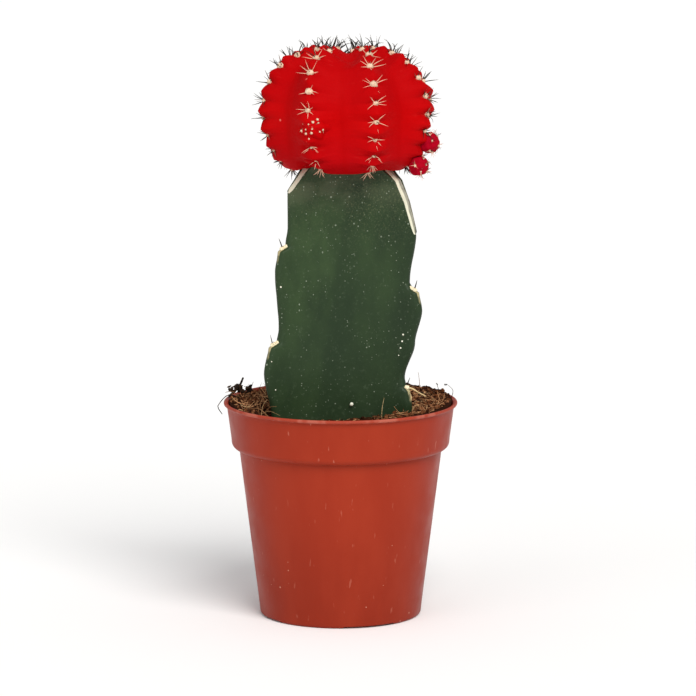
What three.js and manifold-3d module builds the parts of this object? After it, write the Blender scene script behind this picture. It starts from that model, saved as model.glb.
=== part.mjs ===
// A potted moon cactus: a red ribbed scion grafted on a three-winged green rootstock,
// which stands in soil in a plastic nursery pot. Millimetres, +Z up, the front faces -Y,
// and the origin is at the centre of the pot's foot.
//
// Azimuths are measured from the front (-Y) towards +X.

import * as THREE from 'three';
import { ParametricGeometry } from 'three/addons/geometries/ParametricGeometry.js';
import { mergeVertices } from 'three/addons/utils/BufferGeometryUtils.js';
import Module from 'manifold-3d';

const wasm = await Module();
wasm.setup();

// ---- driving dimensions ----

const POT = {
  height: 60,
  beadCentre: 31.6,
  beadRadius: 0.9,
  collarTop: 31.2,
  collarFoot: 30.0,
  collarHeight: 13.0,
  stepRound: 1.8,
  bodyTop: 28.1,
  footRadius: 22.5,
  footRound: 1.0,
  footRingInner: 19.8,
  wall: 0.9,
  floorUnderside: 1.5,
  floorTop: 2.25,
  segments: 40,
};
// Drain holes in the raised floor, and wide shallow notches in the foot ring that let the water out.
const DRAIN = {
  holes: 6,
  holeRadius: 2.5,
  ringRadius: 14,
  notches: 4,
  firstNotch: 22,
  notchWidth: 15,
  notchDepth: 0.5,
};

// The plant stands a little to the right of the pot's axis, and its stem goes on far below the soil.
const PLANT_X = 1.7;
const GRAFT_Z = 125;
const STEM_BOTTOM = 33;
const HOLE_TOP = 64;
const SOIL_GAP = 0.3;

const SOIL = {
  level: 57.3,
  edge: 28.9,
  rings: 9,
  segments: 36,
  rimRise: 1.1,
  dip: 2.6,
  dipY: -15,
  dipSpread: 9,
  roughness: 0.45,
  crumbs: 22,
  crumbSink: 0.35,
  fibres: 8,
  seed: 11,
};

// Margin heights are [z, reach from the stem's axis], eased between the listed places.
// Each shelf carries an areole just above the margin's next bulge.
const WINGS = [
  {
    azimuth: -60,
    margin: [[125, 18.8], [110, 18.5], [104.7, 19.3], [103.1, 21.8], [97.5, 22.7], [81.5, 21.5],
      [78.2, 22.1], [76.6, 24.7], [69.5, 26.0], [57, 23.8], [33, 17]],
    cut: [[125, 13.1], [119.4, 18.6]],
    areoles: [103.9, 77.3],
  },
  {
    azimuth: 60,
    margin: [[125, 22.6], [107.5, 21.8], [94.5, 19.9], [93.2, 20.6], [91.8, 22.8], [87, 23.7],
      [78, 21.5], [68, 18.3], [65.6, 18.8], [64.2, 20.0], [60, 20.6], [33, 16]],
    cut: [[125, 14.0], [122.6, 17.0], [116.8, 19.6], [107.6, 21.9]],
    areoles: [92.5, 65.1],
  },
  {
    azimuth: 180,
    margin: [[125, 21.8], [108, 21.2], [87.4, 19.6], [86.0, 20.4], [84.6, 22.8], [79, 23.8],
      [62, 20.4], [33, 16]],
    cut: [[125, 13.6], [121.5, 17.6], [109, 21.3]],
    areoles: [85.3],
  },
];
// A wing's section: half thickness at the rounded margin, how hollow the faces are between it and the
// valley, and the steps that the faceted solid is made with.
const WING = {
  valley: 7.6,
  tipHalf: 1.25,
  tipRound: 1.3,
  hollow: 1.8,
  tipSteps: 3,
  faceSteps: 4,
  ringSpacing: 6,
  ringGap: 0.9,
};

const HEAD = {
  ribs: [-24, 18, 63, 108, 153, 198, 244, 290],
  columnsPerRib: 6,
  valleyDepth: 4.3,
  notchDepth: 1.7,
  notchWidth: 7,
  hemRadius: 15,
  pitch: 4.4,
  pitchSwell: 1.7,
  seed: 5,
};
// Crest outline of the head above the graft, as [radius, height], from the hem to the crown.
const CREST = [[15, 0], [16.9, -0.4], [21.0, 2.7], [23.3, 7], [24.9, 11.7], [25.6, 16.7], [24.9, 21.8],
  [22.7, 26.7], [18.7, 31.3], [14, 33.6], [9.5, 34.4], [5.2, 34.1], [2, 32], [0, 30.9]];
// Pups as azimuth, height above the graft, radius, and how far the centre is from the head's axis.
const PUPS = [
  { azimuth: 72, height: 8.0, radius: 2.6, reach: 23.9 },
  { azimuth: 66, height: 1.8, radius: 2.8, reach: 21.6 },
  { azimuth: -24, height: 13.2, radius: 3.4, reach: 22.6 },
  { azimuth: 156, height: 5.5, radius: 2.5, reach: 22.4 },
];
const NEEDLE = { length: 3.1, radius: 0.26, perAreole: 3, lean: 0.8, rootSpread: 0.25, rootDepth: 0.15 };
const PUP_NEEDLE = { count: 7, length: 2.1, radius: 0.24 };
const PAD_RADIUS = 0.85;

// ---- helpers ----

const radians = THREE.MathUtils.degToRad;

function seededRandom(seed) {
  let state = seed;
  return () => {
    state = (state * 16807) % 2147483647;
    return state / 2147483647;
  };
}

function around(radius, azimuth, z) {
  return new THREE.Vector3(radius * Math.sin(azimuth), -radius * Math.cos(azimuth), z);
}

// Value at z of a list of [z, value] from high to low, eased so that each listed place is level.
function eased(list, z) {
  if (z >= list[0][0]) return list[0][1];
  for (let i = 1; i < list.length; i += 1) {
    const [lowZ, low] = list[i];
    const [highZ, high] = list[i - 1];
    if (z >= lowZ) return low + (high - low) * THREE.MathUtils.smoothstep(z, lowZ, highZ);
  }
  return list[list.length - 1][1];
}

// Value at z of a list of [z, value] from high to low, straight between the listed places.
function straight(list, z, below) {
  for (let i = 1; i < list.length; i += 1) {
    const [lowZ, low] = list[i];
    const [highZ, high] = list[i - 1];
    if (z >= lowZ) return THREE.MathUtils.mapLinear(z, lowZ, highZ, low, high);
  }
  return below;
}

// A closed three.js geometry as a solid: vertices merged, collapsed triangles dropped.
function solid(geometry) {
  const bare = geometry.clone();
  bare.deleteAttribute('normal');
  bare.deleteAttribute('uv');
  const merged = mergeVertices(bare, 1e-4);
  const index = merged.getIndex().array;
  const kept = [];
  for (let i = 0; i < index.length; i += 3) {
    const [a, b, c] = [index[i], index[i + 1], index[i + 2]];
    if (a !== b && b !== c && c !== a) kept.push(a, b, c);
  }
  const vertProperties = new Float32Array(merged.getAttribute('position').array);
  return new wasm.Manifold(new wasm.Mesh({ numProp: 3, vertProperties, triVerts: new Uint32Array(kept) }));
}

function toMesh(name, shape, material) {
  const { vertProperties, triVerts, numProp } = shape.getMesh();
  const positions = [];
  for (let i = 0; i < vertProperties.length; i += numProp) {
    positions.push(vertProperties[i], vertProperties[i + 1], vertProperties[i + 2]);
  }
  const geometry = new THREE.BufferGeometry();
  geometry.setAttribute('position', new THREE.Float32BufferAttribute(positions, 3));
  geometry.setIndex([...triVerts]);
  geometry.computeVertexNormals();
  const mesh = new THREE.Mesh(geometry, material);
  mesh.name = name;
  return mesh;
}

function joined(shapes) {
  return shapes.reduce((whole, shape) => whole.add(shape));
}

// A slim three-sided needle from a root point along a direction.
function needle(root, direction, length, radius) {
  const cone = new THREE.ConeGeometry(radius, length, 3);
  cone.translate(0, length / 2, 0);
  cone.applyQuaternion(new THREE.Quaternion().setFromUnitVectors(new THREE.Vector3(0, 1, 0), direction));
  cone.translate(root.x, root.y, root.z);
  return solid(cone);
}

function ball(centre, radius) {
  const shape = new THREE.OctahedronGeometry(radius);
  shape.translate(centre.x, centre.y, centre.z);
  return solid(shape);
}

// Needles that fan out from an areole round its outward direction.
function needleFan(point, outward, up, random, count, length) {
  const side = new THREE.Vector3().crossVectors(outward, up).normalize();
  const rise = new THREE.Vector3().crossVectors(side, outward).normalize();
  const shapes = [];
  const turn = random() * Math.PI * 2;
  for (let i = 0; i < count; i += 1) {
    const angle = turn + (i / count) * Math.PI * 2 + (random() - 0.5) * 0.6;
    const lean = NEEDLE.lean + random() * 0.25;
    const across = side.clone().multiplyScalar(Math.cos(angle)).addScaledVector(rise, Math.sin(angle));
    const direction = outward.clone().multiplyScalar(Math.cos(lean)).addScaledVector(across, Math.sin(lean));
    const root = point.clone().addScaledVector(across, NEEDLE.rootSpread);
    root.addScaledVector(outward, -NEEDLE.rootDepth);
    shapes.push(needle(root, direction.normalize(), length * (0.9 + random() * 0.25), NEEDLE.radius));
  }
  return shapes;
}

// ---- pot ----

// The whole wall in one outline: floor, foot ring, body, step, collar, rolled lip and the inside back down.
function potOutline() {
  const { wall, height, beadCentre, beadRadius, footRound, stepRound } = POT;
  const collarBottom = height - POT.collarHeight;
  const beadZ = height - beadRadius;
  const outline = new THREE.Path();
  outline.moveTo(0, POT.floorUnderside);
  outline.lineTo(POT.footRingInner - 0.3, POT.floorUnderside);
  outline.lineTo(POT.footRingInner, 0);
  outline.absarc(POT.footRadius - footRound, footRound, footRound, -Math.PI / 2, 0, false);
  outline.lineTo(POT.bodyTop, collarBottom);
  outline.absarc(POT.collarFoot - stepRound, collarBottom + stepRound, stepRound, -Math.PI / 2, 0, false);
  outline.lineTo(POT.collarTop, beadZ - beadRadius);
  for (let quarter = -1; quarter < 2; quarter += 1) {
    const from = (quarter * Math.PI) / 2;
    outline.absarc(beadCentre, beadZ, beadRadius, from, from + Math.PI / 2, false);
  }
  outline.lineTo(POT.collarTop - wall, beadZ - beadRadius - 0.4);
  outline.lineTo(POT.collarFoot - wall, collarBottom + stepRound);
  outline.lineTo(POT.bodyTop - wall, collarBottom - 0.8);
  outline.lineTo(POT.footRadius - wall, POT.floorTop + 0.8);
  outline.lineTo(POT.footRadius - wall - 0.8, POT.floorTop);
  outline.lineTo(0, POT.floorTop);
  return outline.getPoints(1);
}

function makePot() {
  const shell = new THREE.LatheGeometry(potOutline(), POT.segments);
  shell.rotateX(Math.PI / 2);
  let shape = solid(shell);
  for (let i = 0; i < DRAIN.holes; i += 1) {
    const hole = new THREE.CylinderGeometry(DRAIN.holeRadius, DRAIN.holeRadius, POT.floorTop * 2, 12);
    hole.rotateX(Math.PI / 2);
    hole.translate(...around(DRAIN.ringRadius, (i / DRAIN.holes) * Math.PI * 2, POT.floorTop).toArray());
    shape = shape.subtract(solid(hole));
  }
  for (let i = 0; i < DRAIN.notches; i += 1) {
    const notch = new THREE.BoxGeometry(DRAIN.notchWidth, POT.footRadius / 2, DRAIN.notchDepth * 2);
    notch.translate(0, -POT.footRadius, 0);
    notch.rotateZ(radians(DRAIN.firstNotch) + (i / DRAIN.notches) * Math.PI * 2);
    shape = shape.subtract(solid(notch));
  }
  const material = new THREE.MeshStandardMaterial({ color: 0xa83d2b, roughness: 0.55, metalness: 0 });
  return toMesh('pot', shape, material);
}

// ---- rootstock ----

// Half thickness of a wing at a distance u from the axis: thin at the margin, flaring into the core.
function halfThickness(u, reach, grow) {
  const valleyU = WING.valley * 0.5;
  const valleyHalf = WING.valley * Math.sin(radians(60));
  const inward = THREE.MathUtils.clamp((reach - u) / (reach - valleyU), 0, 1);
  return WING.tipHalf + grow + (valleyHalf - WING.tipHalf) * inward ** WING.hollow;
}

// Half of one wing's section from the margin's tip to the valley, as points [u, v].
function halfWing(wing, z, grow) {
  const full = eased(wing.margin, z) + grow;
  const reach = Math.min(full, straight(wing.cut, z, full));
  const round = THREE.MathUtils.clamp(WING.tipRound - (full - reach), 0, WING.tipRound);
  const start = reach - round;
  const half = halfThickness(start, full, grow);
  const valleyU = (WING.valley + grow) * 0.5;
  const points = [];
  for (let i = 0; i < WING.tipSteps; i += 1) {
    const angle = (i / WING.tipSteps) * Math.PI * 0.5;
    points.push([start + round * Math.cos(angle), half * Math.sin(angle)]);
  }
  for (let i = 0; i < WING.faceSteps; i += 1) {
    const u = THREE.MathUtils.lerp(start, valleyU, i / WING.faceSteps);
    points.push([u, halfThickness(u, full, grow)]);
  }
  return points;
}

// The whole section at a height: each wing's near half, then the valley, then the next wing's far half.
function stemSection(z, grow) {
  const section = [];
  WINGS.forEach((wing) => {
    const half = halfWing(wing, z, grow);
    const azimuth = radians(wing.azimuth);
    const place = (u, v) => {
      const spot = around(u, azimuth, z).add(around(v, azimuth + Math.PI / 2, 0));
      section.push(spot);
    };
    half.slice(1).reverse().forEach(([u, v]) => place(u, -v));
    half.forEach(([u, v]) => place(u, v));
    section.push(around(WING.valley + grow, azimuth + radians(60), z));
  });
  return section;
}

// Heights of the stem's rings: evenly spaced, and close together at each shelf and the cuts' ends.
function ringHeights(bottom, top) {
  const heights = [bottom, top];
  WINGS.forEach((wing) => {
    wing.margin.concat(wing.cut).forEach(([z]) => heights.push(z));
  });
  for (let z = bottom; z < top; z += WING.ringSpacing) heights.push(z);
  const sorted = heights.filter((z) => z >= bottom && z <= top).sort((a, b) => a - b);
  const kept = [bottom];
  sorted.forEach((z) => {
    if (z - kept[kept.length - 1] > WING.ringGap && top - z > WING.ringGap) kept.push(z);
  });
  return [...kept, top];
}

function stemSolid(bottom, top, grow) {
  const heights = ringHeights(bottom, top);
  const rings = heights.map((z) => stemSection(z, grow));
  const columns = rings[0].length;
  const last = rings.length - 1;
  const surface = (u, v, target) => {
    const row = Math.round(v * (last + 2)) - 1;
    if (row < 0) return target.set(0, 0, bottom);
    if (row > last) return target.set(0, 0, top);
    return target.copy(rings[row][Math.round(u * columns) % columns]);
  };
  return solid(new ParametricGeometry(surface, columns, last + 2));
}

function makeRootstock() {
  const random = seededRandom(HEAD.seed + 2);
  const shapes = [stemSolid(STEM_BOTTOM, GRAFT_Z, 0)];
  WINGS.forEach((wing) => {
    const azimuth = radians(wing.azimuth);
    wing.areoles.forEach((z) => {
      const point = around(eased(wing.margin, z) - 0.4, azimuth, z);
      const outward = around(0.75, azimuth, 0.65).normalize();
      shapes.push(ball(point, PAD_RADIUS));
      shapes.push(...needleFan(point, outward, new THREE.Vector3(0, 0, 1), random, 2, NEEDLE.length * 0.75));
    });
  });
  const material = new THREE.MeshStandardMaterial({ color: 0x3b5037, roughness: 0.6, metalness: 0 });
  const mesh = toMesh('rootstock', joined(shapes), material);
  mesh.position.x = PLANT_X;
  return mesh;
}

// ---- soil ----

// Height of the soil: heaped towards the rim, with a dip before the stem and a crumbly surface.
function soilHeight(x, y) {
  const radius = Math.hypot(x, y);
  const dipX = x - PLANT_X;
  const spread = 2 * SOIL.dipSpread ** 2;
  const dip = SOIL.dip * Math.exp(-(dipX ** 2 + (y - SOIL.dipY) ** 2) / spread);
  const waves = Math.sin(x * 0.9 + y * 0.35) + Math.sin(y * 1.1 - x * 0.5 + 1) + Math.sin(x * 0.4 - y * 1.7);
  return SOIL.level + SOIL.rimRise * (radius / 29) ** 2 - dip + (SOIL.roughness * waves) / 2;
}

function soilBody() {
  const inner = POT.wall + SOIL_GAP;
  const collarBottom = POT.height - POT.collarHeight;
  const points = [
    [0, POT.floorTop],
    [POT.footRadius - inner - 1.0, POT.floorTop],
    [POT.footRadius - inner, POT.floorTop + 1.0],
    [POT.bodyTop - inner, collarBottom - 1.0],
    [POT.collarFoot - inner - 0.1, collarBottom + POT.stepRound],
    [SOIL.edge + 0.4, SOIL.level - 0.5],
  ];
  for (let i = 0; i <= SOIL.rings; i += 1) points.push([SOIL.edge * (1 - i / SOIL.rings), SOIL.level]);
  const outline = points.map(([r, z]) => new THREE.Vector2(r, z));
  const body = new THREE.LatheGeometry(outline, SOIL.segments);
  body.rotateX(Math.PI / 2);
  const position = body.getAttribute('position');
  for (let i = 0; i < position.count; i += 1) {
    if (position.getZ(i) > SOIL.level - 0.1) {
      position.setZ(i, soilHeight(position.getX(i), position.getY(i)));
    }
  }
  return solid(body);
}

// Whether a place on the soil is well outside the stem's core and each of its wings.
function clearOfStem(x, y) {
  const spot = new THREE.Vector3(x - PLANT_X, y, 0);
  const margin = 3.4;
  return spot.length() > WING.valley + margin && WINGS.every((wing) => {
    const along = spot.dot(around(1, radians(wing.azimuth), 0));
    const across = Math.sqrt(Math.max(0, spot.lengthSq() - along ** 2));
    const reach = eased(wing.margin, SOIL.level);
    return along < 0 || along > reach + margin || across > halfThickness(along, reach, margin);
  });
}

// A place on the soil that is clear of the stem and of the pot's wall.
function soilSpot(random) {
  const widest = 26;
  for (;;) {
    const x = (random() - 0.5) * widest * 2;
    const y = (random() - 0.5) * widest * 2;
    if (clearOfStem(x, y) && Math.hypot(x, y) < widest) return new THREE.Vector3(x, y, soilHeight(x, y));
  }
}

function fibre(from, to, sag) {
  const middle = from.clone().lerp(to, 0.5).add(new THREE.Vector3(0, 0, sag));
  const path = new THREE.QuadraticBezierCurve3(from, middle, to);
  const section = new THREE.Shape([0, 1, 2].map((i) => {
    const angle = (i / 3) * Math.PI * 2;
    return new THREE.Vector2(0.35 * Math.cos(angle), 0.35 * Math.sin(angle));
  }));
  return solid(new THREE.ExtrudeGeometry(section, { steps: 3, extrudePath: path, bevelEnabled: false }));
}

function makeSoil() {
  const random = seededRandom(SOIL.seed);
  const shapes = [soilBody()];
  for (let i = 0; i < SOIL.crumbs; i += 1) {
    const crumb = new THREE.IcosahedronGeometry(0.9 + random() * 0.8);
    const spot = soilSpot(random);
    crumb.rotateZ(random() * Math.PI);
    crumb.scale(1, 0.8, 0.7);
    crumb.translate(spot.x, spot.y, spot.z - SOIL.crumbSink);
    shapes.push(solid(crumb));
  }
  for (let i = 0; i < SOIL.fibres; i += 1) {
    const middle = soilSpot(random);
    const azimuth = random() * Math.PI * 2;
    const reach = around(2.6, azimuth, 0.6);
    const from = middle.clone().sub(reach);
    const to = middle.clone().add(reach);
    shapes.push(fibre(from, to, 1.4));
  }
  const hole = stemSolid(STEM_BOTTOM, HOLE_TOP, SOIL_GAP).translate([PLANT_X, 0, 0]);
  const material = new THREE.MeshStandardMaterial({ color: 0x6c4b2e, roughness: 0.95, metalness: 0 });
  return toMesh('soil', joined(shapes).subtract(hole), material);
}

// ---- scion ----

// Places along the crest, from hem to crown, a quarter tubercle apart: the tubercles are
// small at the hem, largest above the middle and crowded at the crown.
function crestRows() {
  const crest = new THREE.SplineCurve(CREST.map(([r, z]) => new THREE.Vector2(r, z)));
  const length = crest.getLength();
  const rows = [];
  let s = 0;
  while (s < length - 1.6) {
    const t = s / length;
    const tangent = crest.getTangentAt(t);
    rows.push({ point: crest.getPointAt(t), outward: new THREE.Vector2(tangent.y, -tangent.x), t });
    s += (HEAD.pitch + HEAD.pitchSwell * Math.sin(Math.PI * t ** 1.6)) / 4;
  }
  return rows;
}

// Azimuth of a place round the head, counted in ribs: the ribs are not quite evenly spaced.
function bearing(place) {
  const count = HEAD.ribs.length;
  const rib = Math.floor(place);
  const here = HEAD.ribs[rib % count];
  const next = rib + 1 < count ? HEAD.ribs[rib + 1] : HEAD.ribs[0] + 360;
  return radians(here + (next - here) * (place - rib));
}

// A point of the head's skin: the crest's outline, sunk into the valleys between the ribs and
// into the notches between the tubercles. Neighbouring ribs are half a tubercle out of step.
function headPoint(rows, row, column) {
  const { point, outward, t } = rows[row];
  const perRib = HEAD.columnsPerRib;
  const rib = Math.floor(column / perRib + 0.5);
  const offset = column / perRib - rib;
  const step = (row + 1) / 4 + (rib % 2) / 2;
  const fade = Math.min(1, t * 9, (1 - t) * 5);
  const valley = HEAD.valleyDepth * fade * Math.sin(Math.PI * Math.abs(offset)) ** 1.3;
  const nearCrest = Math.exp(-((offset * 360 / HEAD.ribs.length / HEAD.notchWidth) ** 2));
  const notch = HEAD.notchDepth * fade * (1 - Math.abs(Math.sin(Math.PI * step)) ** 0.9);
  const sink = valley + notch * (0.12 + 0.88 * nearCrest);
  const azimuth = bearing(column / perRib);
  return around(Math.max(0.4, point.x - outward.x * sink), azimuth, GRAFT_Z + point.y - outward.y * sink);
}

function headBody(rows) {
  const columns = HEAD.ribs.length * HEAD.columnsPerRib;
  const last = rows.length - 1;
  const crownZ = GRAFT_Z + CREST[CREST.length - 1][1];
  const surface = (u, v, target) => {
    const row = Math.round(v * (last + 3)) - 2;
    const column = Math.round(u * columns) % columns;
    if (row === -2) return target.set(0, 0, GRAFT_Z);
    if (row > last) return target.set(0, 0, crownZ);
    if (row === -1) {
      return target.copy(around(HEAD.hemRadius - 0.4, bearing(column / HEAD.columnsPerRib), GRAFT_Z));
    }
    return target.copy(headPoint(rows, row, column));
  };
  return solid(new ParametricGeometry(surface, columns, last + 3));
}

// Areoles sit in the notches of every rib.
function headAreoles(rows) {
  const random = seededRandom(HEAD.seed);
  const shapes = [];
  for (let rib = 0; rib < HEAD.ribs.length; rib += 1) {
    const first = rib % 2 ? 5 : 3;
    for (let row = first; row < rows.length - 2; row += 4) {
      const column = rib * HEAD.columnsPerRib;
      const point = headPoint(rows, row, column);
      const { outward, t } = rows[row];
      const azimuth = bearing(rib);
      const direction = around(outward.x, azimuth, outward.y).normalize();
      const length = NEEDLE.length * (t > 0.75 ? 1.15 : 1);
      const up = new THREE.Vector3(0, 0, 1);
      shapes.push(...needleFan(point, direction, up, random, NEEDLE.perAreole, length));
    }
  }
  return shapes;
}

// A pup is a small ribbed ball that has grown out of the head's side, with a few needles of its own.
function pup({ azimuth, height, radius, reach }, random) {
  const centre = around(reach, radians(azimuth), GRAFT_Z + height);
  const shape = new THREE.SphereGeometry(radius, 12, 6);
  shape.rotateX(Math.PI / 2);
  const position = shape.getAttribute('position');
  for (let i = 0; i < position.count; i += 1) {
    const x = position.getX(i);
    const y = position.getY(i);
    const lobe = 1 - 0.14 * (1 - Math.abs(Math.cos(3 * Math.atan2(y, x))));
    position.setXY(i, x * lobe, y * lobe);
  }
  shape.translate(centre.x, centre.y, centre.z);
  const shapes = [solid(shape)];
  for (let i = 0; i < PUP_NEEDLE.count; i += 1) {
    const turn = radians(azimuth) + (random() - 0.5) * 2.2;
    const direction = around(1, turn, (random() - 0.4) * 1.4).normalize();
    const root = centre.clone().addScaledVector(direction, radius * 0.6);
    shapes.push(needle(root, direction, PUP_NEEDLE.length, PUP_NEEDLE.radius));
  }
  return shapes;
}

function makeScion() {
  const rows = crestRows();
  const random = seededRandom(HEAD.seed + 1);
  const shapes = [headBody(rows), ...headAreoles(rows)];
  PUPS.forEach((place) => shapes.push(...pup(place, random)));
  const material = new THREE.MeshStandardMaterial({ color: 0xc8100f, roughness: 0.45, metalness: 0 });
  const mesh = toMesh('scion', joined(shapes), material);
  mesh.position.x = PLANT_X;
  return mesh;
}

const cactus = new THREE.Group();
cactus.name = 'potted_moon_cactus';
cactus.add(makePot());
cactus.add(makeSoil());
cactus.add(makeRootstock());
cactus.add(makeScion());

export default cactus;
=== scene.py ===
"""Potted moon cactus: the visible pot, growing mix, winged green stem and red ribbed head,
with their wool, spines, pups and litter, on a pale studio floor.

Lengths in the tables and formulas are millimetres, and MM turns them into scene metres.
Azimuths are measured from the front (-Y) towards +X.
"""

import itertools
import math
from typing import NamedTuple

import bpy
import numpy as np
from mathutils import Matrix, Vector


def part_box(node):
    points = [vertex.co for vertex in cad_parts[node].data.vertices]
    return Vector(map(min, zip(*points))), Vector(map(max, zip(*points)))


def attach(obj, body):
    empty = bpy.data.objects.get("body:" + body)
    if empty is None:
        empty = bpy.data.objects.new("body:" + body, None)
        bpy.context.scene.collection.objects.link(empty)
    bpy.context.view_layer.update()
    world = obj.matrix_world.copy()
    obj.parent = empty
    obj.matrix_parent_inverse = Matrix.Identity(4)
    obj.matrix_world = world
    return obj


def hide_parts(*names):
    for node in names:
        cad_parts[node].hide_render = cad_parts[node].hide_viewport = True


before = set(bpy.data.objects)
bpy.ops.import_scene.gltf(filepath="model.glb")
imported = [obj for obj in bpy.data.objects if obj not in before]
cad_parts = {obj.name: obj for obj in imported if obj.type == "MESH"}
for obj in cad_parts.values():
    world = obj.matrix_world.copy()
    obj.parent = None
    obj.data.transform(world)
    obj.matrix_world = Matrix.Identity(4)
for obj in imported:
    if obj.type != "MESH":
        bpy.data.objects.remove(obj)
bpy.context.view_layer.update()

bl_info = {
    "name": "Potted moon cactus",
    "version": (1, 0, 0),
    "blender": (4, 5, 0),
    "location": "View3D > Sidebar > Moon cactus",
    "description": "Builds a grafted moon cactus in a nursery pot on a studio floor",
    "category": "Object",
}

MM = 0.001
POT_LOW, POT_HIGH = (np.array(corner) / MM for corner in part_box("pot"))
STEM_LOW, STEM_HIGH = (np.array(corner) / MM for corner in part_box("rootstock"))

GRAFT_Z = float(STEM_HIGH[2])
STEM_FOOT_Z = float(STEM_LOW[2])
PLANT_X = 1.7

# Wings of the stem: margin and cut outlines as [height, reach from the stem's axis], from high to low.
WINGS = (
    {
        "azimuth": -60,
        "margin": ((125, 18.8), (110, 18.5), (104.7, 19.3), (103.1, 21.8), (97.5, 22.7), (81.5, 21.5),
                   (78.2, 22.1), (76.6, 24.7), (69.5, 26.0), (57, 23.8), (33, 17)),
        "cut": ((128.5, 11.0), (119.4, 18.6)),
        "areoles": (103.9, 77.3),
    },
    {
        "azimuth": 60,
        "margin": ((125, 22.6), (107.5, 21.8), (94.5, 19.9), (93.2, 20.6), (91.8, 22.8), (87, 23.7),
                   (78, 21.5), (68, 18.3), (65.6, 18.8), (64.2, 20.0), (60, 20.6), (33, 16)),
        "cut": ((127.5, 11.0), (122.6, 16.4), (116.8, 19.1), (107.4, 21.9)),
        "areoles": (92.5, 65.1),
    },
    {
        "azimuth": 180,
        "margin": ((125, 21.8), (108, 21.2), (87.4, 19.6), (86.0, 20.4), (84.6, 22.8), (79, 23.8),
                   (62, 20.4), (33, 16)),
        "cut": ((127.5, 11.0), (121.5, 17.6), (109, 21.3)),
        "areoles": (85.3,),
    },
)

# Crest outline of the head above the graft, as (radius, height), from the hem to the crown.
CREST = ((15, 0), (16.9, -0.4), (21.0, 2.7), (23.3, 7), (24.9, 11.7), (25.6, 16.7), (24.9, 21.8),
         (22.7, 26.7), (18.7, 31.3), (14, 33.6), (9.5, 34.4), (5.2, 34.1), (2, 32), (0, 30.9))
# Azimuths of the head's ribs, which are not quite evenly spaced.
RIBS = (-26, 19.5, 66, 108, 153, 198, 244, 288)
# How far each rib's tubercles sit above the even pattern, in tubercles.
RIB_LIFTS = (0.25, 0.15, -0.22, -0.28, 0, 0, 0, 0)
# Degrees by which each rib, and the valley after it, leans sideways at the crown.
CROWN_LEANS = (-12, -2, 2, 0, 5, 0, -4, -5, -6, 0, 5, 5, 6, 0, -4, -7)

# Pups on the head's side; the one on the front is young, flat and nearly without spines.
PUPS = (
    {"azimuth": 72, "height": 8.0, "radius": 3.0, "reach": 23.7, "lobes": 5, "dots": 9, "spread": 1.5,
     "wool": 0.28, "spine": 1.9, "missing": 0.1, "seed": 1},
    {"azimuth": 66, "height": 1.8, "radius": 2.9, "reach": 21.6, "lobes": 6, "dots": 11, "spread": 1.5,
     "wool": 0.30, "spine": 1.7, "missing": 0.15, "seed": 2},
    {"azimuth": -23.5, "height": 13.7, "radius": 4.4, "reach": 20.9, "lobes": 7, "dots": 15, "spread": 0.84,
     "wool": 0.34, "spine": 0.7, "missing": 0.75, "seed": 3},
    {"azimuth": 156, "height": 5.5, "radius": 2.6, "reach": 23.2, "lobes": 6, "dots": 9, "spread": 1.4,
     "wool": 0.30, "spine": 1.6, "missing": 0.15, "seed": 4},
)


# ---- settings ----

def length_setting(name, description, millimetres):
    """A length that a user may change, shown in the scene's length unit."""
    return bpy.props.FloatProperty(
        name=name, description=description, default=millimetres * MM, subtype="DISTANCE", unit="LENGTH")


def colour_setting(name, description, red, green, blue):
    """A linear colour that a user may change."""
    return bpy.props.FloatVectorProperty(
        name=name, description=description, default=(red, green, blue), size=3, min=0, max=1, subtype="COLOR")


def count_setting(name, description, count):
    """A number of pieces that a user may change."""
    return bpy.props.IntProperty(name=name, description=description, default=count, min=0)


class CactusPotSettings(bpy.types.PropertyGroup):
    """Sizes and colour of the moulded nursery pot."""
    lip_radius: length_setting("Lip radius", "Outer radius of the rolled lip", POT_HIGH[0])
    height: length_setting("Height", "Height of the pot", POT_HIGH[2])
    wall: length_setting("Wall", "Thickness of the moulded wall", 0.9)
    foot_radius: length_setting("Foot radius", "Outer radius of the foot", 22.5)
    collar_height: length_setting("Collar height", "From the step below the collar to the top", 13.0)
    colour: colour_setting("Terracotta", "Colour of the pot's plastic", 0.300, 0.0255, 0.0082)


class CactusSoilSettings(bpy.types.PropertyGroup):
    """Level and make-up of the growing mix."""
    level: length_setting("Level", "Height of the mix at the pot's axis", 57.3)
    crumbs: count_setting("Crumbs", "Loose crumbs of peat on the surface", 3000)
    fibres: count_setting("Fibres", "Coir fibres on the surface", 3000)
    colour: colour_setting("Peat", "Colour of the darker peat", 0.027, 0.0075, 0.0026)


class CactusStemSettings(bpy.types.PropertyGroup):
    """Section and colours of the winged stem."""
    valley: length_setting("Valley radius", "From the axis to the hollow between two wings", 7.6)
    margin_half: length_setting("Margin half thickness", "Half thickness of a wing at its margin", 1.1)
    green: colour_setting("Green", "Colour of the stem's skin", 0.0245, 0.050, 0.0165)
    cut: colour_setting("Cut face", "Colour of the dried cut faces", 0.80, 0.78, 0.60)


class CactusHeadSettings(bpy.types.PropertyGroup):
    """Relief, colours and spines of the red head."""
    valley_depth: length_setting("Valley depth", "How far the valleys lie under the crests", 4.3)
    notch_depth: length_setting("Notch depth", "How far the areoles lie under the tubercles", 1.7)
    spine_length: length_setting("Spine length", "Usual length of a spine", 3.7)
    red: colour_setting("Red", "Colour of the head's skin", 0.45, 0.0005, 0.0010)
    wool: colour_setting("Wool", "Colour of the areoles' wool", 0.66, 0.50, 0.36)


class CactusStageSettings(bpy.types.PropertyGroup):
    """The floor and the camera."""
    distance: length_setting("Camera distance", "From the camera to the pot's axis, along the floor", 1300)
    camera_height: length_setting("Camera height", "Height of the camera above the floor", 287)
    floor: colour_setting("Floor", "Colour of the studio floor", 0.93, 0.93, 0.93)


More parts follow.
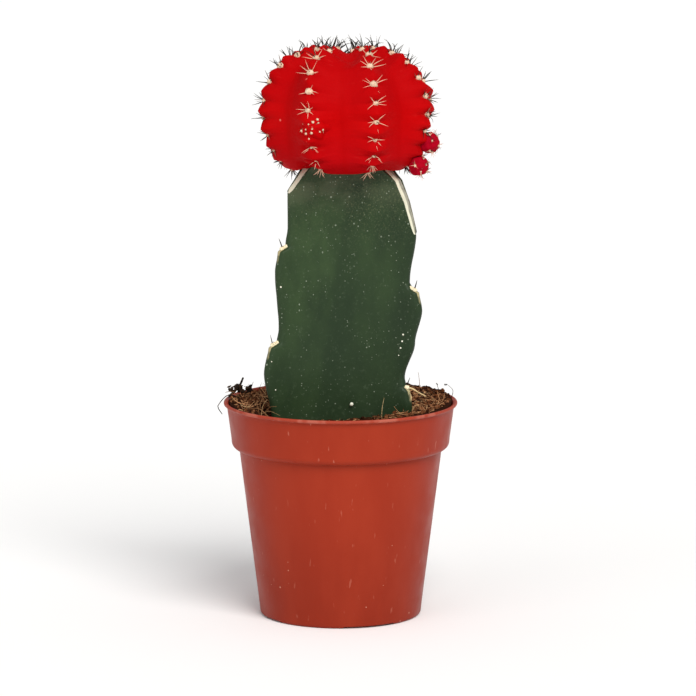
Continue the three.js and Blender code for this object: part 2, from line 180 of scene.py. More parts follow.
# ---- arrays ----

class Shape(NamedTuple):
    """Points in millimetres, four-cornered and three-cornered faces, and named values on the points."""
    points: np.ndarray
    quads: np.ndarray
    triangles: np.ndarray
    values: dict


def smoothstep(x):
    """3x^2 - 2x^3 of x held between 0 and 1."""
    held = np.clip(x, 0, 1)
    return held * held * (3 - 2 * held)


def rising(x, start, over):
    """0 up to the start, then eased up to 1 over the given stretch."""
    return smoothstep((x - start) / over)


def bell(x, centre, width):
    """1 at the centre, falling off to both sides as exp(-d^2) of the distance counted in widths."""
    return np.exp(-((x - centre) / width) ** 2)


def unit(vectors):
    """Vectors scaled to length 1."""
    return vectors / np.maximum(np.linalg.norm(vectors, axis=-1, keepdims=True), 1e-12)


def around(radius, azimuth, z):
    """Points at a radius, an azimuth in radians and a height: (r sin a, -r cos a, z)."""
    radius, azimuth, z = np.broadcast_arrays(radius, azimuth, z)
    return np.stack([radius * np.sin(azimuth), -radius * np.cos(azimuth), z], axis=-1)


def beside(azimuth):
    """The level direction square to an azimuth in radians, towards larger azimuths."""
    return around(1.0, azimuth + np.pi / 2, 0.0)


def noise(points, cell, seed):
    """Smooth random value in -1..1: random numbers on a cubic lattice, eased between its corners."""
    table = np.random.default_rng(seed).uniform(-1, 1, (32, 32, 32))
    scaled = points / cell
    base = np.floor(scaled).astype(int)
    part = smoothstep(scaled - base)
    total = np.zeros(points.shape[:-1])
    for corner in itertools.product((0, 1), repeat=3):
        index = (base + corner) % 32
        weight = np.prod(np.where(corner, part, 1 - part), axis=-1)
        total += weight * table[index[..., 0], index[..., 1], index[..., 2]]
    return total


def layered_noise(points, cell, seed, layers=3):
    """Sum of noises, each half as wide and half as strong as the one before."""
    return sum(noise(points, cell / 2 ** i, seed + i) / 2 ** i for i in range(layers))


def eased(outline, z):
    """Value at height z of (height, value) places, eased so that the curve is level at each place."""
    heights, values = np.array(outline[::-1], float).T
    z = np.clip(z, heights[0], heights[-1])
    low = np.clip(np.searchsorted(heights, z, side="right") - 1, 0, len(heights) - 2)
    share = smoothstep((z - heights[low]) / (heights[low + 1] - heights[low]))
    return values[low] + (values[low + 1] - values[low]) * share


def grid_faces(rows, columns):
    """Quads of a grid of rings: columns run counterclockwise and rows upward, so the faces look outward."""
    row = np.arange(rows - 1)[:, None] * columns
    column = np.arange(columns)[None, :]
    following = (column + 1) % columns
    corners = [row + column, row + following, row + columns + following, row + columns + column]
    return np.stack(corners, axis=-1).reshape(-1, 4)


def pole_faces(rows, columns):
    """Triangles from the lowest ring to a point under it and from the highest ring to a point over it."""
    column = np.arange(columns)
    following = np.roll(column, -1)
    top = (rows - 1) * columns
    low = np.stack([np.full(columns, rows * columns), following, column], axis=-1)
    high = np.stack([np.full(columns, rows * columns + 1), top + column, top + following], axis=-1)
    return np.concatenate([low, high])


def closed_rings(rings, bottom, top, values=None):
    """A closed body from rings of points (rows, columns, 3) and its lowest and highest points."""
    rows, columns = rings.shape[:2]
    points = np.concatenate([rings.reshape(-1, 3), [bottom], [top]])
    spread = {}
    for key, value in (values or {}).items():
        flat = np.broadcast_to(value, (rows, columns)).reshape(-1)
        spread[key] = np.concatenate([flat, flat[:1], flat[-1:]])
    return Shape(points, grid_faces(rows, columns), pole_faces(rows, columns), spread)


def repeated(points, quads, triangles, values):
    """Many copies of one face layout: points (copies, corners, 3), each copy with its own numbers."""
    copies, size = points.shape[:2]
    shift = (np.arange(copies) * size)[:, None, None]
    flat = {key: np.broadcast_to(value, (copies, size)).reshape(-1) for key, value in values.items()}
    return Shape(points.reshape(-1, 3), (quads[None] + shift).reshape(-1, 4),
                 (triangles[None] + shift).reshape(-1, 3), flat)


def together(shapes):
    """Shapes with the same named values as one."""
    starts = np.cumsum([0] + [len(shape.points) for shape in shapes[:-1]])
    return Shape(
        np.concatenate([shape.points for shape in shapes]),
        np.concatenate([shape.quads + start for shape, start in zip(shapes, starts)]),
        np.concatenate([shape.triangles + start for shape, start in zip(shapes, starts)]),
        {key: np.concatenate([shape.values[key] for shape in shapes]) for key in shapes[0].values})


def moved(shape, offset):
    """The shape shifted by an offset."""
    return shape._replace(points=shape.points + offset)


def tubes(paths, radii, plane_normals, sides, tint):
    """Closed tubes round plane curves: at each point a ring of the radius, square to the curve.

    paths is (tubes, points, 3), radii is (tubes, points) and plane_normals is (tubes, 3).
    """
    count, steps = paths.shape[:2]
    tangent = unit(np.gradient(paths, axis=1))
    across = unit(np.broadcast_to(plane_normals[:, None], paths.shape))
    rise = unit(np.cross(tangent, across))
    across = np.cross(rise, tangent)
    angle = np.arange(sides) / sides * 2 * np.pi
    reach = np.broadcast_to(radii, (count, steps))[:, :, None, None]
    ring = reach * (np.cos(angle)[:, None] * across[:, :, None] + np.sin(angle)[:, None] * rise[:, :, None])
    body = (paths[:, :, None] + ring).reshape(count, steps * sides, 3)
    overshoot = np.broadcast_to(radii, (count, steps))[:, [0, -1], None]
    first = paths[:, 0] - tangent[:, 0] * overshoot[:, 0]
    last = paths[:, -1] + tangent[:, -1] * overshoot[:, 1]
    points = np.concatenate([body, first[:, None], last[:, None]], axis=1)
    along = np.concatenate([np.repeat(np.linspace(0, 1, steps), sides), [0.0, 1.0]])
    values = {"along": along[None], "tint": np.asarray(tint)[:, None]}
    return repeated(points, grid_faces(steps, sides), pole_faces(steps, sides), values)


def arcs(roots, directions, plane_normals, lengths, bends, steps):
    """Points along circular arcs: the direction turns evenly by the bend about the plane normal."""
    sideways = unit(np.cross(plane_normals, directions))
    turn = bends[:, None] * (np.arange(steps - 1) + 0.5) / (steps - 1)
    heading = np.cos(turn)[..., None] * directions[:, None] + np.sin(turn)[..., None] * sideways[:, None]
    walked = np.cumsum(heading * lengths[:, None, None] / (steps - 1), axis=1)
    return roots[:, None] + np.concatenate([np.zeros_like(walked[:, :1]), walked], axis=1)


def spline(points, share):
    """Catmull-Rom curve: each stretch is the cubic whose end slopes are half the step between neighbours."""
    last = len(points) - 1
    place = np.asarray(share) * last
    index = np.minimum(np.floor(place).astype(int), last - 1)
    w = (place - index)[..., None]
    p0, p1, p2, p3 = (points[np.clip(index + shift, 0, last)] for shift in (-1, 0, 1, 2))
    v0 = (p2 - p0) / 2
    v1 = (p3 - p1) / 2
    return (2 * p1 - 2 * p2 + v0 + v1) * w ** 3 + (3 * p2 - 3 * p1 - 2 * v0 - v1) * w ** 2 + v0 * w + p1


def walked_length(path):
    """Length walked along a path to each of its points."""
    return np.concatenate([[0], np.cumsum(np.linalg.norm(np.diff(path, axis=0), axis=1))])


def along_path(path, walked, wanted):
    """The path's numbers at the wanted lengths along it."""
    return np.stack([np.interp(wanted, walked, path[:, axis]) for axis in range(path.shape[1])], axis=-1)


def even_path(points, steps):
    """Catmull-Rom curve through the points, with steps evenly spaced by length."""
    dense = spline(points, np.linspace(0, 1, 400))
    walked = walked_length(dense)
    return along_path(dense, walked, np.linspace(0, walked[-1], steps))


def square_to(directions, rng):
    """A random unit vector square to each direction."""
    return unit(np.cross(directions, unit(rng.normal(size=directions.shape))))


def lumps(centres, sizes, rng, rings=3, columns=6, jitter=0.25, tint=None):
    """Small uneven balls: points of a sphere pushed in and out, stretched by three sizes and turned."""
    count = len(centres)
    latitude = (np.arange(rings) + 1) / (rings + 1) * np.pi - np.pi / 2
    longitude = np.arange(columns) / columns * 2 * np.pi
    ball = around(np.cos(latitude)[:, None], longitude[None], np.sin(latitude)[:, None]).reshape(-1, 3)
    ball = np.concatenate([ball, [[0, 0, -1], [0, 0, 1]]])
    local = ball[None] * (1 + jitter * rng.uniform(-1, 1, (count, len(ball), 1))) * sizes[:, None]
    first = unit(rng.normal(size=(count, 3)))
    second = square_to(first, rng)
    frames = np.stack([first, second, np.cross(first, second)], axis=1)
    local = np.einsum("nvi,nij->nvj", local, frames)
    tint = rng.uniform(0, 1, count) if tint is None else tint
    values = {"along": np.clip((ball[:, 2] + 1) / 2, 0, 1)[None], "tint": tint[:, None]}
    return repeated(centres[:, None] + local, grid_faces(rings, columns), pole_faces(rings, columns), values)


def make_mesh(name, shape, smooth=True):
    """A Blender mesh of a shape, in metres, with its named values as point attributes."""
    mesh = bpy.data.meshes.new(name)
    corners = np.concatenate([shape.quads.ravel(), shape.triangles.ravel()])
    sizes = np.concatenate([np.full(len(shape.quads), 4), np.full(len(shape.triangles), 3)])
    mesh.vertices.add(len(shape.points))
    mesh.vertices.foreach_set("co", (shape.points * MM).astype(np.float32).ravel())
    mesh.loops.add(len(corners))
    mesh.loops.foreach_set("vertex_index", corners.astype(np.int32))
    mesh.polygons.add(len(sizes))
    mesh.polygons.foreach_set("loop_start", (np.cumsum(sizes) - sizes).astype(np.int32))
    mesh.polygons.foreach_set("use_smooth", np.full(len(sizes), smooth))
    for key, value in shape.values.items():
        attribute = mesh.attributes.new(key, "FLOAT", "POINT")
        attribute.data.foreach_set("value", value.astype(np.float32))
    mesh.update(calc_edges=True)
    return mesh


def add_piece(name, shape, material, node=None, smooth=True):
    """Puts a shape in the scene as a piece that rides on the body, and may stand for a packed node."""
    piece = bpy.data.objects.new(name, make_mesh(name, shape, smooth))
    bpy.context.scene.collection.objects.link(piece)
    piece.data.materials.append(material)
    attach(piece, "root")
    if node:
        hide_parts(node)
    return piece


# ---- material helpers ----

class Nodes:
    """Adds shader nodes to a tree. What a node takes is a socket to link or a plain value."""

    def __init__(self, tree):
        self.tree = tree

    def add(self, kind, inputs, **settings):
        """A node with its settings and its inputs."""
        node = self.tree.nodes.new(kind)
        for key, value in settings.items():
            setattr(node, key, value)
        for key, value in inputs.items():
            if isinstance(value, bpy.types.NodeSocket):
                self.tree.links.new(value, node.inputs[key])
            else:
                node.inputs[key].default_value = value
        return node

    def maths(self, operation, first, second=0.5, third=0.0):
        """The result of a Math node."""
        return self.add("ShaderNodeMath", {0: first, 1: second, 2: third}, operation=operation).outputs[0]

    def product(self, first, second):
        """One value times the other."""
        return self.maths("MULTIPLY", first, second)

    def mixed(self, factor, first, second):
        """A colour that goes from the first to the second as the factor goes from 0 to 1."""
        inputs = {0: factor}
        for key, colour in ((6, first), (7, second)):
            inputs[key] = colour if isinstance(colour, bpy.types.NodeSocket) else (*colour, 1)
        return self.add("ShaderNodeMix", inputs, data_type="RGBA").outputs[2]

    def stepped(self, value, low, high, out_low=0.0, out_high=1.0):
        """The value taken from low..high to the given range, eased and held at its ends."""
        inputs = {0: value, 1: low, 2: high, 3: out_low, 4: out_high}
        return self.add("ShaderNodeMapRange", inputs, interpolation_type="SMOOTHSTEP").outputs[0]

    def point_value(self, name):
        """A named value of the mesh's points."""
        return self.add("ShaderNodeAttribute", {}, attribute_name=name).outputs["Fac"]

    def place(self, stretch=(1, 1, 1)):
        """Object coordinates in metres, times a stretch."""
        place = self.add("ShaderNodeTexCoord", {}).outputs["Object"]
        if stretch == (1, 1, 1):
            return place
        return self.add("ShaderNodeMapping", {"Vector": place, "Scale": stretch}).outputs[0]

    def noise(self, scale, detail=3.0, roughness=0.55, stretch=(1, 1, 1), vector=None):
        """A noise texture on the stretched object coordinates, or on another vector."""
        vector = self.place(stretch) if vector is None else vector
        inputs = {"Vector": vector, "Scale": scale, "Detail": detail, "Roughness": roughness}
        return self.add("ShaderNodeTexNoise", inputs).outputs[0]

    def specks(self, scale, size, limit, stretch=(1, 1, 1)):
        """The mask of the scattered specks group with its own values."""
        inputs = {"Vector": self.place(stretch), "Scale": scale, "Size": size, "Limit": limit}
        return self.add("ShaderNodeGroup", inputs, node_tree=specks_group()).outputs["Mask"]


class Finish(Nodes):
    """A material with one Principled shader, whose colour is laid on coat by coat."""

    def __init__(self, name, roughness, specular, colour=None):
        self.material = bpy.data.materials.new(name)
        self.material.use_nodes = True
        super().__init__(self.material.node_tree)
        self.shader = self.tree.nodes["Principled BSDF"]
        self.shader.inputs["Roughness"].default_value = roughness
        self.shader.inputs["Specular IOR Level"].default_value = specular
        self.colour = colour

    def coat(self, factor, colour):
        """Lays a colour over the earlier ones: not at all where the factor is 0, fully where it is 1."""
        self.colour = self.mixed(factor, self.colour, colour)

    def feed(self, name, socket):
        """Links a socket to one of the shader's."""
        self.tree.links.new(socket, self.shader.inputs[name])

    def bump(self, height, distance, strength):
        """Feeds a height, times a distance in metres, to the shader's normal."""
        node = self.add("ShaderNodeBump", {"Height": height, "Distance": distance, "Strength": strength})
        self.feed("Normal", node.outputs[0])

    def finished(self):
        """The material, with its coats on the shader."""
        self.feed("Base Color", self.colour)
        return self.material


def specks_group():
    """Scattered small dots: the cells of a Voronoi pattern whose random number is above a limit.

    A dot is the part of its cell that is nearer to the cell's point than the size, which also differs
    from cell to cell.
    """
    name = "Scattered specks"
    if name in bpy.data.node_groups:
        return bpy.data.node_groups[name]
    group = bpy.data.node_groups.new(name, "ShaderNodeTree")
    group.interface.new_socket(name="Vector", in_out="INPUT", socket_type="NodeSocketVector")
    for key, default in (("Scale", 400.0), ("Size", 0.25), ("Limit", 0.9)):
        socket = group.interface.new_socket(name=key, in_out="INPUT", socket_type="NodeSocketFloat")
        socket.default_value = default
    group.interface.new_socket(name="Mask", in_out="OUTPUT", socket_type="NodeSocketFloat")
    nodes = Nodes(group)
    given = nodes.add("NodeGroupInput", {}).outputs
    cells = nodes.add("ShaderNodeTexVoronoi", {"Vector": given["Vector"], "Scale": given["Scale"]}).outputs
    chance, growth, _ = nodes.add("ShaderNodeSeparateColor", {0: cells["Color"]}).outputs
    own_size = nodes.product(given["Size"], nodes.maths("ADD", growth, 0.4))
    inside = nodes.maths("SUBTRACT", 1.0, nodes.maths("DIVIDE", cells["Distance"], own_size))
    chosen = nodes.maths("GREATER_THAN", chance, given["Limit"])
    nodes.add("NodeGroupOutput", {"Mask": nodes.product(chosen, nodes.stepped(inside, 0.0, 0.5))})
    return group


# ---- pot ----

def arc(centre, radius, start, end, steps):
    """Points of a circular arc between two angles in degrees."""
    angle = np.radians(np.linspace(start, end, steps))
    return np.stack([centre[0] + radius * np.cos(angle), centre[1] + radius * np.sin(angle)], axis=-1)


def stretch(start, end, steps):
    """Evenly spaced points of a straight stretch, without its ends."""
    share = np.linspace(0, 1, steps + 2)[1:-1, None]
    return np.array(start) * (1 - share) + np.array(end) * share


# Floor of the pot, its foot ring and the round under its step.
FLOOR_UNDER = 1.5
FLOOR_TOP = 2.25
FOOT_RING_INNER = 19.95
FOOT_ROUND = 1.0
STEP_ROUND = 1.8
# Radius of the innermost ring of a turned body, round the point that closes it.
INNERMOST = 0.6


def pot_outline(settings):
    """The wall's outline (radius, height): underside, foot ring, body, step, collar, rolled lip, inside."""
    wall = settings.wall / MM
    height = settings.height / MM
    foot = settings.foot_radius / MM
    bead = 0.48
    bead_centre = (settings.lip_radius / MM - bead, height - bead)
    collar_low = height - settings.collar_height / MM
    collar_top = bead_centre[0] - 0.46
    collar_foot = collar_top - 1.25
    body_top = collar_foot - 2.15
    mouth_round = 0.4
    mouth_centre = (collar_top - wall + 0.95, height - 0.62)
    step_centre = (collar_foot - STEP_ROUND, collar_low + STEP_ROUND)
    inner_turn = (collar_foot - wall - 0.3, collar_low + STEP_ROUND)
    inner_step = (body_top - wall, collar_low - 0.8)
    inner_foot = (foot - wall, 3.0)
    floor_edge = (inner_foot[0] - 0.8, FLOOR_TOP)
    ring_edge = (19.4, FLOOR_UNDER)
    return np.concatenate([
        [(INNERMOST, FLOOR_UNDER)], stretch((INNERMOST, FLOOR_UNDER), ring_edge, 12), [ring_edge],
        [(19.8, 0.15), (FOOT_RING_INNER, 0.0)], stretch((FOOT_RING_INNER, 0), (foot - FOOT_ROUND, 0), 2),
        arc((foot - FOOT_ROUND, FOOT_ROUND), FOOT_ROUND, -90, -3, 7),
        stretch((foot, 1.3), (body_top, collar_low - 0.5), 26),
        [(body_top, collar_low - 0.25), (body_top + 0.04, collar_low - 0.06), (body_top + 0.12, collar_low)],
        arc(step_centre, STEP_ROUND, -88, -2, 10),
        stretch((collar_foot, collar_low + 2.1), (collar_top, bead_centre[1] - 0.95), 10),
        [(collar_top + 0.02, bead_centre[1] - 0.8), (collar_top + 0.14, bead_centre[1] - 0.62)],
        arc(bead_centre, bead, -84, 95, 14),
        arc(mouth_centre, mouth_round, 85, 178, 7),
        stretch((mouth_centre[0] - mouth_round, mouth_centre[1] - 0.1), inner_turn, 6),
        [inner_turn, inner_step], stretch(inner_step, inner_foot, 8),
        [inner_foot, floor_edge], stretch(floor_edge, (INNERMOST, FLOOR_TOP), 4), [(INNERMOST, FLOOR_TOP)],
    ])


def pot_shape(settings, columns=240):
    """The outline turned round the axis, with four wide shallow notches in the foot ring.

    The foot's lowest points are raised to the notch's depth where the azimuth is in a notch.
    """
    outline = pot_outline(settings)
    azimuth = np.arange(columns) / columns * 2 * np.pi
    rings = around(outline[:, :1], azimuth[None], outline[:, 1:])
    quarter = np.pi / 2
    first_notch = np.radians(22)
    half_width = np.radians(20.5)
    from_notch = np.abs((azimuth - first_notch + quarter / 2) % quarter - quarter / 2)
    depth = 0.5 * smoothstep((half_width - from_notch) / np.radians(1.2))
    at_foot = outline[:, :1] > FOOT_RING_INNER - 0.35
    rings[..., 2] = np.where(at_foot, np.maximum(rings[..., 2], depth[None]), rings[..., 2])
    return closed_rings(rings, (0, 0, FLOOR_UNDER), (0, 0, FLOOR_TOP))


def drain_holes(holes=6, radius=2.5, reach=14.0):
    """Round cutters through the pot's floor, evenly spaced in a ring."""
    low, high = (0, 0, FLOOR_UNDER - 1), (0, 0, FLOOR_TOP + 0.95)
    ring = around(radius, np.arange(32) / 32 * 2 * np.pi, 0.0)
    cutter = closed_rings(np.stack([ring + low, ring + high]), low, high)
    turns = np.arange(holes) / holes * 2 * np.pi
    return together([moved(cutter, around(reach, turn, 0.0)) for turn in turns])


def cut_by(piece, cutter_shape):
    """Cuts the piece by a closed shape with an exact Boolean, which is applied to its mesh."""
    cutter = bpy.data.objects.new("cutter", make_mesh("cutter", cutter_shape))
    bpy.context.scene.collection.objects.link(cutter)
    modifier = piece.modifiers.new("cut", "BOOLEAN")
    modifier.operation = "DIFFERENCE"
    modifier.solver = "EXACT"
    modifier.object = cutter
    graph = bpy.context.evaluated_depsgraph_get()
    cut_mesh = bpy.data.meshes.new_from_object(piece.evaluated_get(graph))
    if len(cut_mesh.polygons) < len(piece.data.polygons) / 2:
        raise RuntimeError("the drain holes took the pot away")
    piece.modifiers.clear()
    piece.data = cut_mesh
    bpy.data.objects.remove(cutter)


def pot_material(settings):
    """Moulded plastic: faintly mottled, with scuffs and specks, painted shade towards the foot and painted
    highlights on the lip.
    """
    nodes = Finish("Terracotta plastic", 0.40, 0.12)
    place = nodes.place()
    height = nodes.add("ShaderNodeSeparateXYZ", {0: place}).outputs[2]
    # Painted shade: the plastic darkens towards the foot.
    deep = [value * 0.80 for value in settings.colour]
    nodes.colour = nodes.mixed(nodes.stepped(height, 0.0, 0.044), deep, settings.colour)
    clouds = nodes.noise(90, stretch=(1, 1, 0.35))
    nodes.coat(nodes.stepped(clouds, 0.35, 0.7, 0.0, 0.22), (0.40, 0.046, 0.017))
    flat = nodes.add("ShaderNodeVectorMath", {0: place, 1: (1, 1, 0)}, operation="MULTIPLY").outputs[0]
    radius = nodes.add("ShaderNodeVectorMath", {0: flat}, operation="LENGTH").outputs["Value"]
    # Painted highlight: pale patches on the outer edge of the rolled lip.
    lip_highlight = nodes.stepped(nodes.noise(210, 2.0, stretch=(1, 1, 0.5)), 0.50, 0.66, 0.12, 0.5)
    at_lip = nodes.stepped(radius, 0.0319, 0.0323)
    nodes.coat(nodes.product(lip_highlight, at_lip), (0.52, 0.17, 0.12))
    scuffs = nodes.stepped(nodes.noise(240, 2.0, stretch=(3.4, 3.4, 0.8)), 0.69, 0.76)
    on_collar = nodes.stepped(height, 0.043, 0.047, 0.22, 0.42)
    nodes.coat(nodes.product(scuffs, on_collar), (0.60, 0.22, 0.15))
    nodes.coat(nodes.product(nodes.specks(420, 0.10, 0.935), 0.6), (0.72, 0.38, 0.27))
    worn = nodes.noise(160, 4.0)
    nodes.feed("Roughness", nodes.stepped(worn, 0.3, 0.7, 0.34, 0.48))
    nodes.bump(nodes.maths("ADD", nodes.noise(1600, 2.0), nodes.product(worn, 1.5)), 0.00004, 0.5)
    return nodes.finished()


# ---- soil and litter ----

# Where the mix meets the pot: its inner wall as (radius, height), and the widest ring of its top.
SOIL_WALL = ((19.0, 2.35), (21.2, 2.5), (21.5, 3.4), (26.6, 44.5), (28.9, 49.0), (30.4, 56.6))
SOIL_EDGE = 30.95


def front_dip(x, y):
    """Depth of the flat hollow in the mix before the stem: it falls off as exp(-d^4) to all sides."""
    return 3.4 * np.exp(-((x + 6) / 16) ** 4 - ((y + 18) / 11) ** 4)


def soil_height(x, y, level):
    """Height of the mix: heaped up to the lip, least at the front, with a flat dip before the stem."""
    azimuth = np.arctan2(x, -y)
    sides = 0.5 - 0.5 * np.cos(2 * azimuth)
    rear = 0.5 - 0.5 * np.cos(azimuth)
    heap = (1.0 + 1.3 * sides + 1.0 * rear * (x > 0)) * (np.hypot(x, y) / 29) ** 3
    return level + heap - front_dip(x, y)


def soil_bed(settings, rings=110, columns=260):
    """The mix as a closed body: the inside of the pot, and a top of layered noise over the heaped surface."""
    level = settings.level / MM
    azimuth = np.arange(columns) / columns * 2 * np.pi
    wall = np.array(SOIL_WALL)
    side = around(wall[:, :1], azimuth[None], wall[:, 1:])
    top = around(np.linspace(SOIL_EDGE, INNERMOST, rings)[:, None], azimuth[None], 0.0)
    top[..., 2] = soil_height(top[..., 0], top[..., 1], level)
    top[..., 2] += 0.55 * layered_noise(top, 3.1, 21, 4) + 0.25 * np.abs(noise(top, 0.9, 31))
    # The bed's low tint makes it darker than most crumbs: partly moist peat, partly painted shade in the gaps
    # between them.
    values = {"along": 0.5, "tint": 0.2}
    return closed_rings(np.concatenate([side, top]), (0, 0, SOIL_WALL[0][1]), (0, 0, level), values)


def stem_distance(x, y):
    """How far a place is outside the stem at soil level: from its core and from each wing's flat line."""
    place = np.stack([x - PLANT_X, y], axis=-1)
    distance = np.linalg.norm(place, axis=-1) - 7.2
    for wing in WINGS:
        reach = float(eased(wing["margin"], np.array(58.0)))
        direction = around(1.0, math.radians(wing["azimuth"]), 0.0)[:2]
        along = np.clip(place @ direction, 0, reach)
        gap = np.linalg.norm(place - along[..., None] * direction, axis=-1)
        half_thickness = 1.6 + 2.6 * (1 - along / reach) ** 2
        distance = np.minimum(distance, gap - half_thickness)
    return distance


def soil_spots(count, rng, level, clear=0.4, widest=30.5):
    """Random places on the mix, evenly spread, clear of the stem."""
    radius = widest * np.sqrt(rng.uniform(0, 1, count * 2))
    azimuth = rng.uniform(0, 2 * np.pi, count * 2)
    spots = around(radius, azimuth, 0.0)
    spots = spots[stem_distance(spots[:, 0], spots[:, 1]) > clear][:count]
    spots[:, 2] = soil_height(spots[:, 0], spots[:, 1], level)
    return spots


def soil_crumbs(settings):
    """Uneven crumbs of many sizes, half sunk: sizes follow a power of a random number, so few are large."""
    rng = np.random.default_rng(41)
    spots = soil_spots(settings.crumbs, rng, settings.level / MM)
    size = 0.18 + 0.66 * rng.uniform(0, 1, len(spots)) ** 3.8
    sizes = size[:, None] * rng.uniform(0.4, 1.25, (len(spots), 3))
    spots[:, 2] += rng.uniform(-0.1, 0.55, len(spots)) + 0.3 * size
    return lumps(spots, sizes, rng, jitter=0.42)


def coir_fibres(settings):
    """Bent fibres that lie about on the mix, and a few that stand up from it.

    Those that would reach the pot or the stem are left out, and so are those that would stand up in
    the dip before the stem or far above the mix on the right and behind.
    """
    rng = np.random.default_rng(43)
    level = settings.level / MM
    spots = soil_spots(settings.fibres, rng, level, clear=0.7, widest=29.8)
    count = len(spots)
    lengths = rng.uniform(1.4, 5.0, count)
    upright = rng.uniform(0, 1, count) ** 12 * (spots[:, 1] > -8)
    heading = around(1.0, rng.uniform(0, 2 * np.pi, count), rng.uniform(-0.12, 0.2, count) + 1.6 * upright)
    heading = unit(heading)
    normals = square_to(heading, rng)
    bends = rng.normal(0, 1.1, count)
    spots[:, 2] += rng.uniform(0.15, 0.75, count)
    roots = spots - heading * lengths[:, None] * 0.5 * (1 - upright)[:, None]
    paths = arcs(roots, heading, normals, lengths, bends, 7)
    x, y, z = np.moveaxis(paths, -1, 0)
    paths[..., 2] = np.maximum(z, soil_height(x, y, level) + 0.1)
    highest = paths[..., 2].max(axis=1)
    in_dip = (front_dip(spots[:, 0], spots[:, 1]) > 0.3) & (highest > level - 0.9)
    at_rear_right = (spots[:, 0] > 5) & (spots[:, 1] > -3) & (highest - spots[:, 2] > 1.1)
    inside = (np.hypot(x, y).max(axis=1) < SOIL_EDGE - 0.05) & (stem_distance(x, y).min(axis=1) > 0.1)
    keep = inside & ~in_dip & ~at_rear_right
    paths, normals = paths[keep], normals[keep]
    taper = np.array([1, 1, 1, 0.95, 0.85, 0.7, 0.4])
    radii = rng.uniform(0.04, 0.115, len(paths))[:, None] * taper
    return tubes(paths, radii, normals, 4, rng.uniform(0, 1, len(paths)))


class Strand(NamedTuple):
    """A tapering strand: its radius at both ends, its tint and the places that it passes through."""
    radii: tuple
    tint: float
    through: tuple


class Heap(NamedTuple):
    """A heap of flakes: its middle, its half size, how many, the largest flake and the range of tints."""
    middle: tuple
    spread: tuple
    count: int
    size: float
    tints: tuple


# Loose bits on the mix. Tints go from dark bark (0) to pale straw (1).
DARK_TWIGS = (
    Strand((0.42, 0.26), 0.0, ((-31.0, 3.0, 60.6), (-29.3, 3.5, 62.3), (-28.2, 4.0, 63.4),
                               (-27.2, 4.5, 65.6))),
    Strand((0.17, 0.10), 0.0, ((-28.0, 2.0, 60.2), (-30.6, -0.5, 61.7), (-32.3, -1.0, 61.0),
                               (-34.1, -1.5, 58.7), (-33.8, -1.6, 57.8), (-32.9, -1.8, 56.5))),
    Strand((0.14, 0.06), 0.3, ((-27.5, 1.0, 60.2), (-30.0, 0.5, 62.4), (-32.0, 0.0, 62.3))),
    Strand((0.16, 0.05), 0.05, ((-25.5, 6.0, 59.8), (-25.0, 6.5, 62.2), (-24.4, 6.5, 64.2))),
    Strand((0.09, 0.04), 0.45, ((-22.5, 10.0, 58.5), (-21.6, 11.0, 61.8), (-19.4, 12.0, 63.4))),
    Strand((0.09, 0.04), 0.4, ((-23.5, 9.0, 58.5), (-22.9, 9.0, 61.4), (-22.6, 8.0, 62.6))),
)
STRAW_AND_HUSK = (
    Strand((0.34, 0.16), 1.0, ((18.0, -7.2, 64.9), (19.8, -6.5, 64.4), (21.6, -5.6, 63.2),
                               (23.6, -4.6, 62.0))),
    Strand((0.26, 0.13), 0.92, ((18.2, -8.6, 64.7), (19.3, -9.2, 63.2), (19.4, -9.9, 61.6),
                                (18.7, -10.6, 60.4))),
    Strand((0.32, 0.24), 0.62, ((19.8, -9.4, 58.4), (20.3, -9.2, 59.8), (21.3, -9.0, 60.2),
                                (21.9, -9.0, 59.3), (21.2, -9.3, 58.4))),
)
THIN_SPRIGS = (
    Strand((0.10, 0.04), 0.35, ((22.4, 20.0, 59.6), (22.2, 20.2, 62.3), (21.9, 20.5, 64.6))),
    Strand((0.09, 0.06), 0.1, ((27.6, 9.5, 59.4), (27.4, 9.5, 61.6), (26.9, 9.5, 63.1))),
    Strand((0.09, 0.05), 0.1, ((31.0, 7.0, 59.5), (31.4, 7.8, 61.6), (29.8, 9.0, 63.0))),
    Strand((0.10, 0.05), 0.8, ((11.3, -13.6, 57.0), (11.5, -13.4, 60.2), (12.0, -13.2, 63.0))),
    Strand((0.07, 0.04), 0.65, ((-22.0, -13.5, 58.4), (-19.5, -15.0, 59.6), (-16.6, -16.2, 58.6))),
    Strand((0.07, 0.04), 0.6, ((-21.0, -12.0, 58.4), (-19.6, -13.5, 60.4), (-17.6, -14.8, 60.9))),
    Strand((0.09, 0.04), 0.7, ((-21.8, -12.8, 58.0), (-21.4, -12.6, 60.6), (-20.2, -12.4, 62.4))),
    Strand((0.08, 0.04), 0.55, ((-22.4, -12.0, 58.0), (-22.8, -11.8, 60.4), (-23.8, -11.4, 61.6))),
    Strand((0.16, 0.08), 0.5, ((24.5, -8.0, 58.4), (25.8, -5.0, 59.9), (28.3, -3.0, 59.6))),
    Strand((0.15, 0.07), 0.55, ((-20.0, -14.0, 58.0), (-22.5, -11.0, 59.6), (-26.0, -9.5, 59.2))),
)
FLAKES = (
    Heap((-29.3, 4.0, 62.6), (1.9, 1.3, 0.9), 26, 1.0, (0.0, 0.12)),
    Heap((-25.9, 6.2, 62.1), (0.9, 0.9, 0.9), 12, 0.9, (0.0, 0.10)),
    Heap((27.0, 9.5, 63.1), (0.25, 0.1, 0.1), 2, 0.5, (0.0, 0.10)),
    Heap((29.6, 9.0, 63.0), (0.55, 0.1, 0.12), 3, 0.6, (0.0, 0.10)),
    Heap((24.0, 12.0, 59.8), (2.5, 1.8, 0.4), 10, 0.8, (0.0, 0.2)),
    Heap((13.5, -14.2, 57.7), (5.0, 1.8, 0.7), 44, 0.65, (0.0, 0.55)),
    Heap((18.5, -8.6, 63.3), (0.25, 0.2, 0.7), 6, 0.75, (0.85, 1.0)),
)


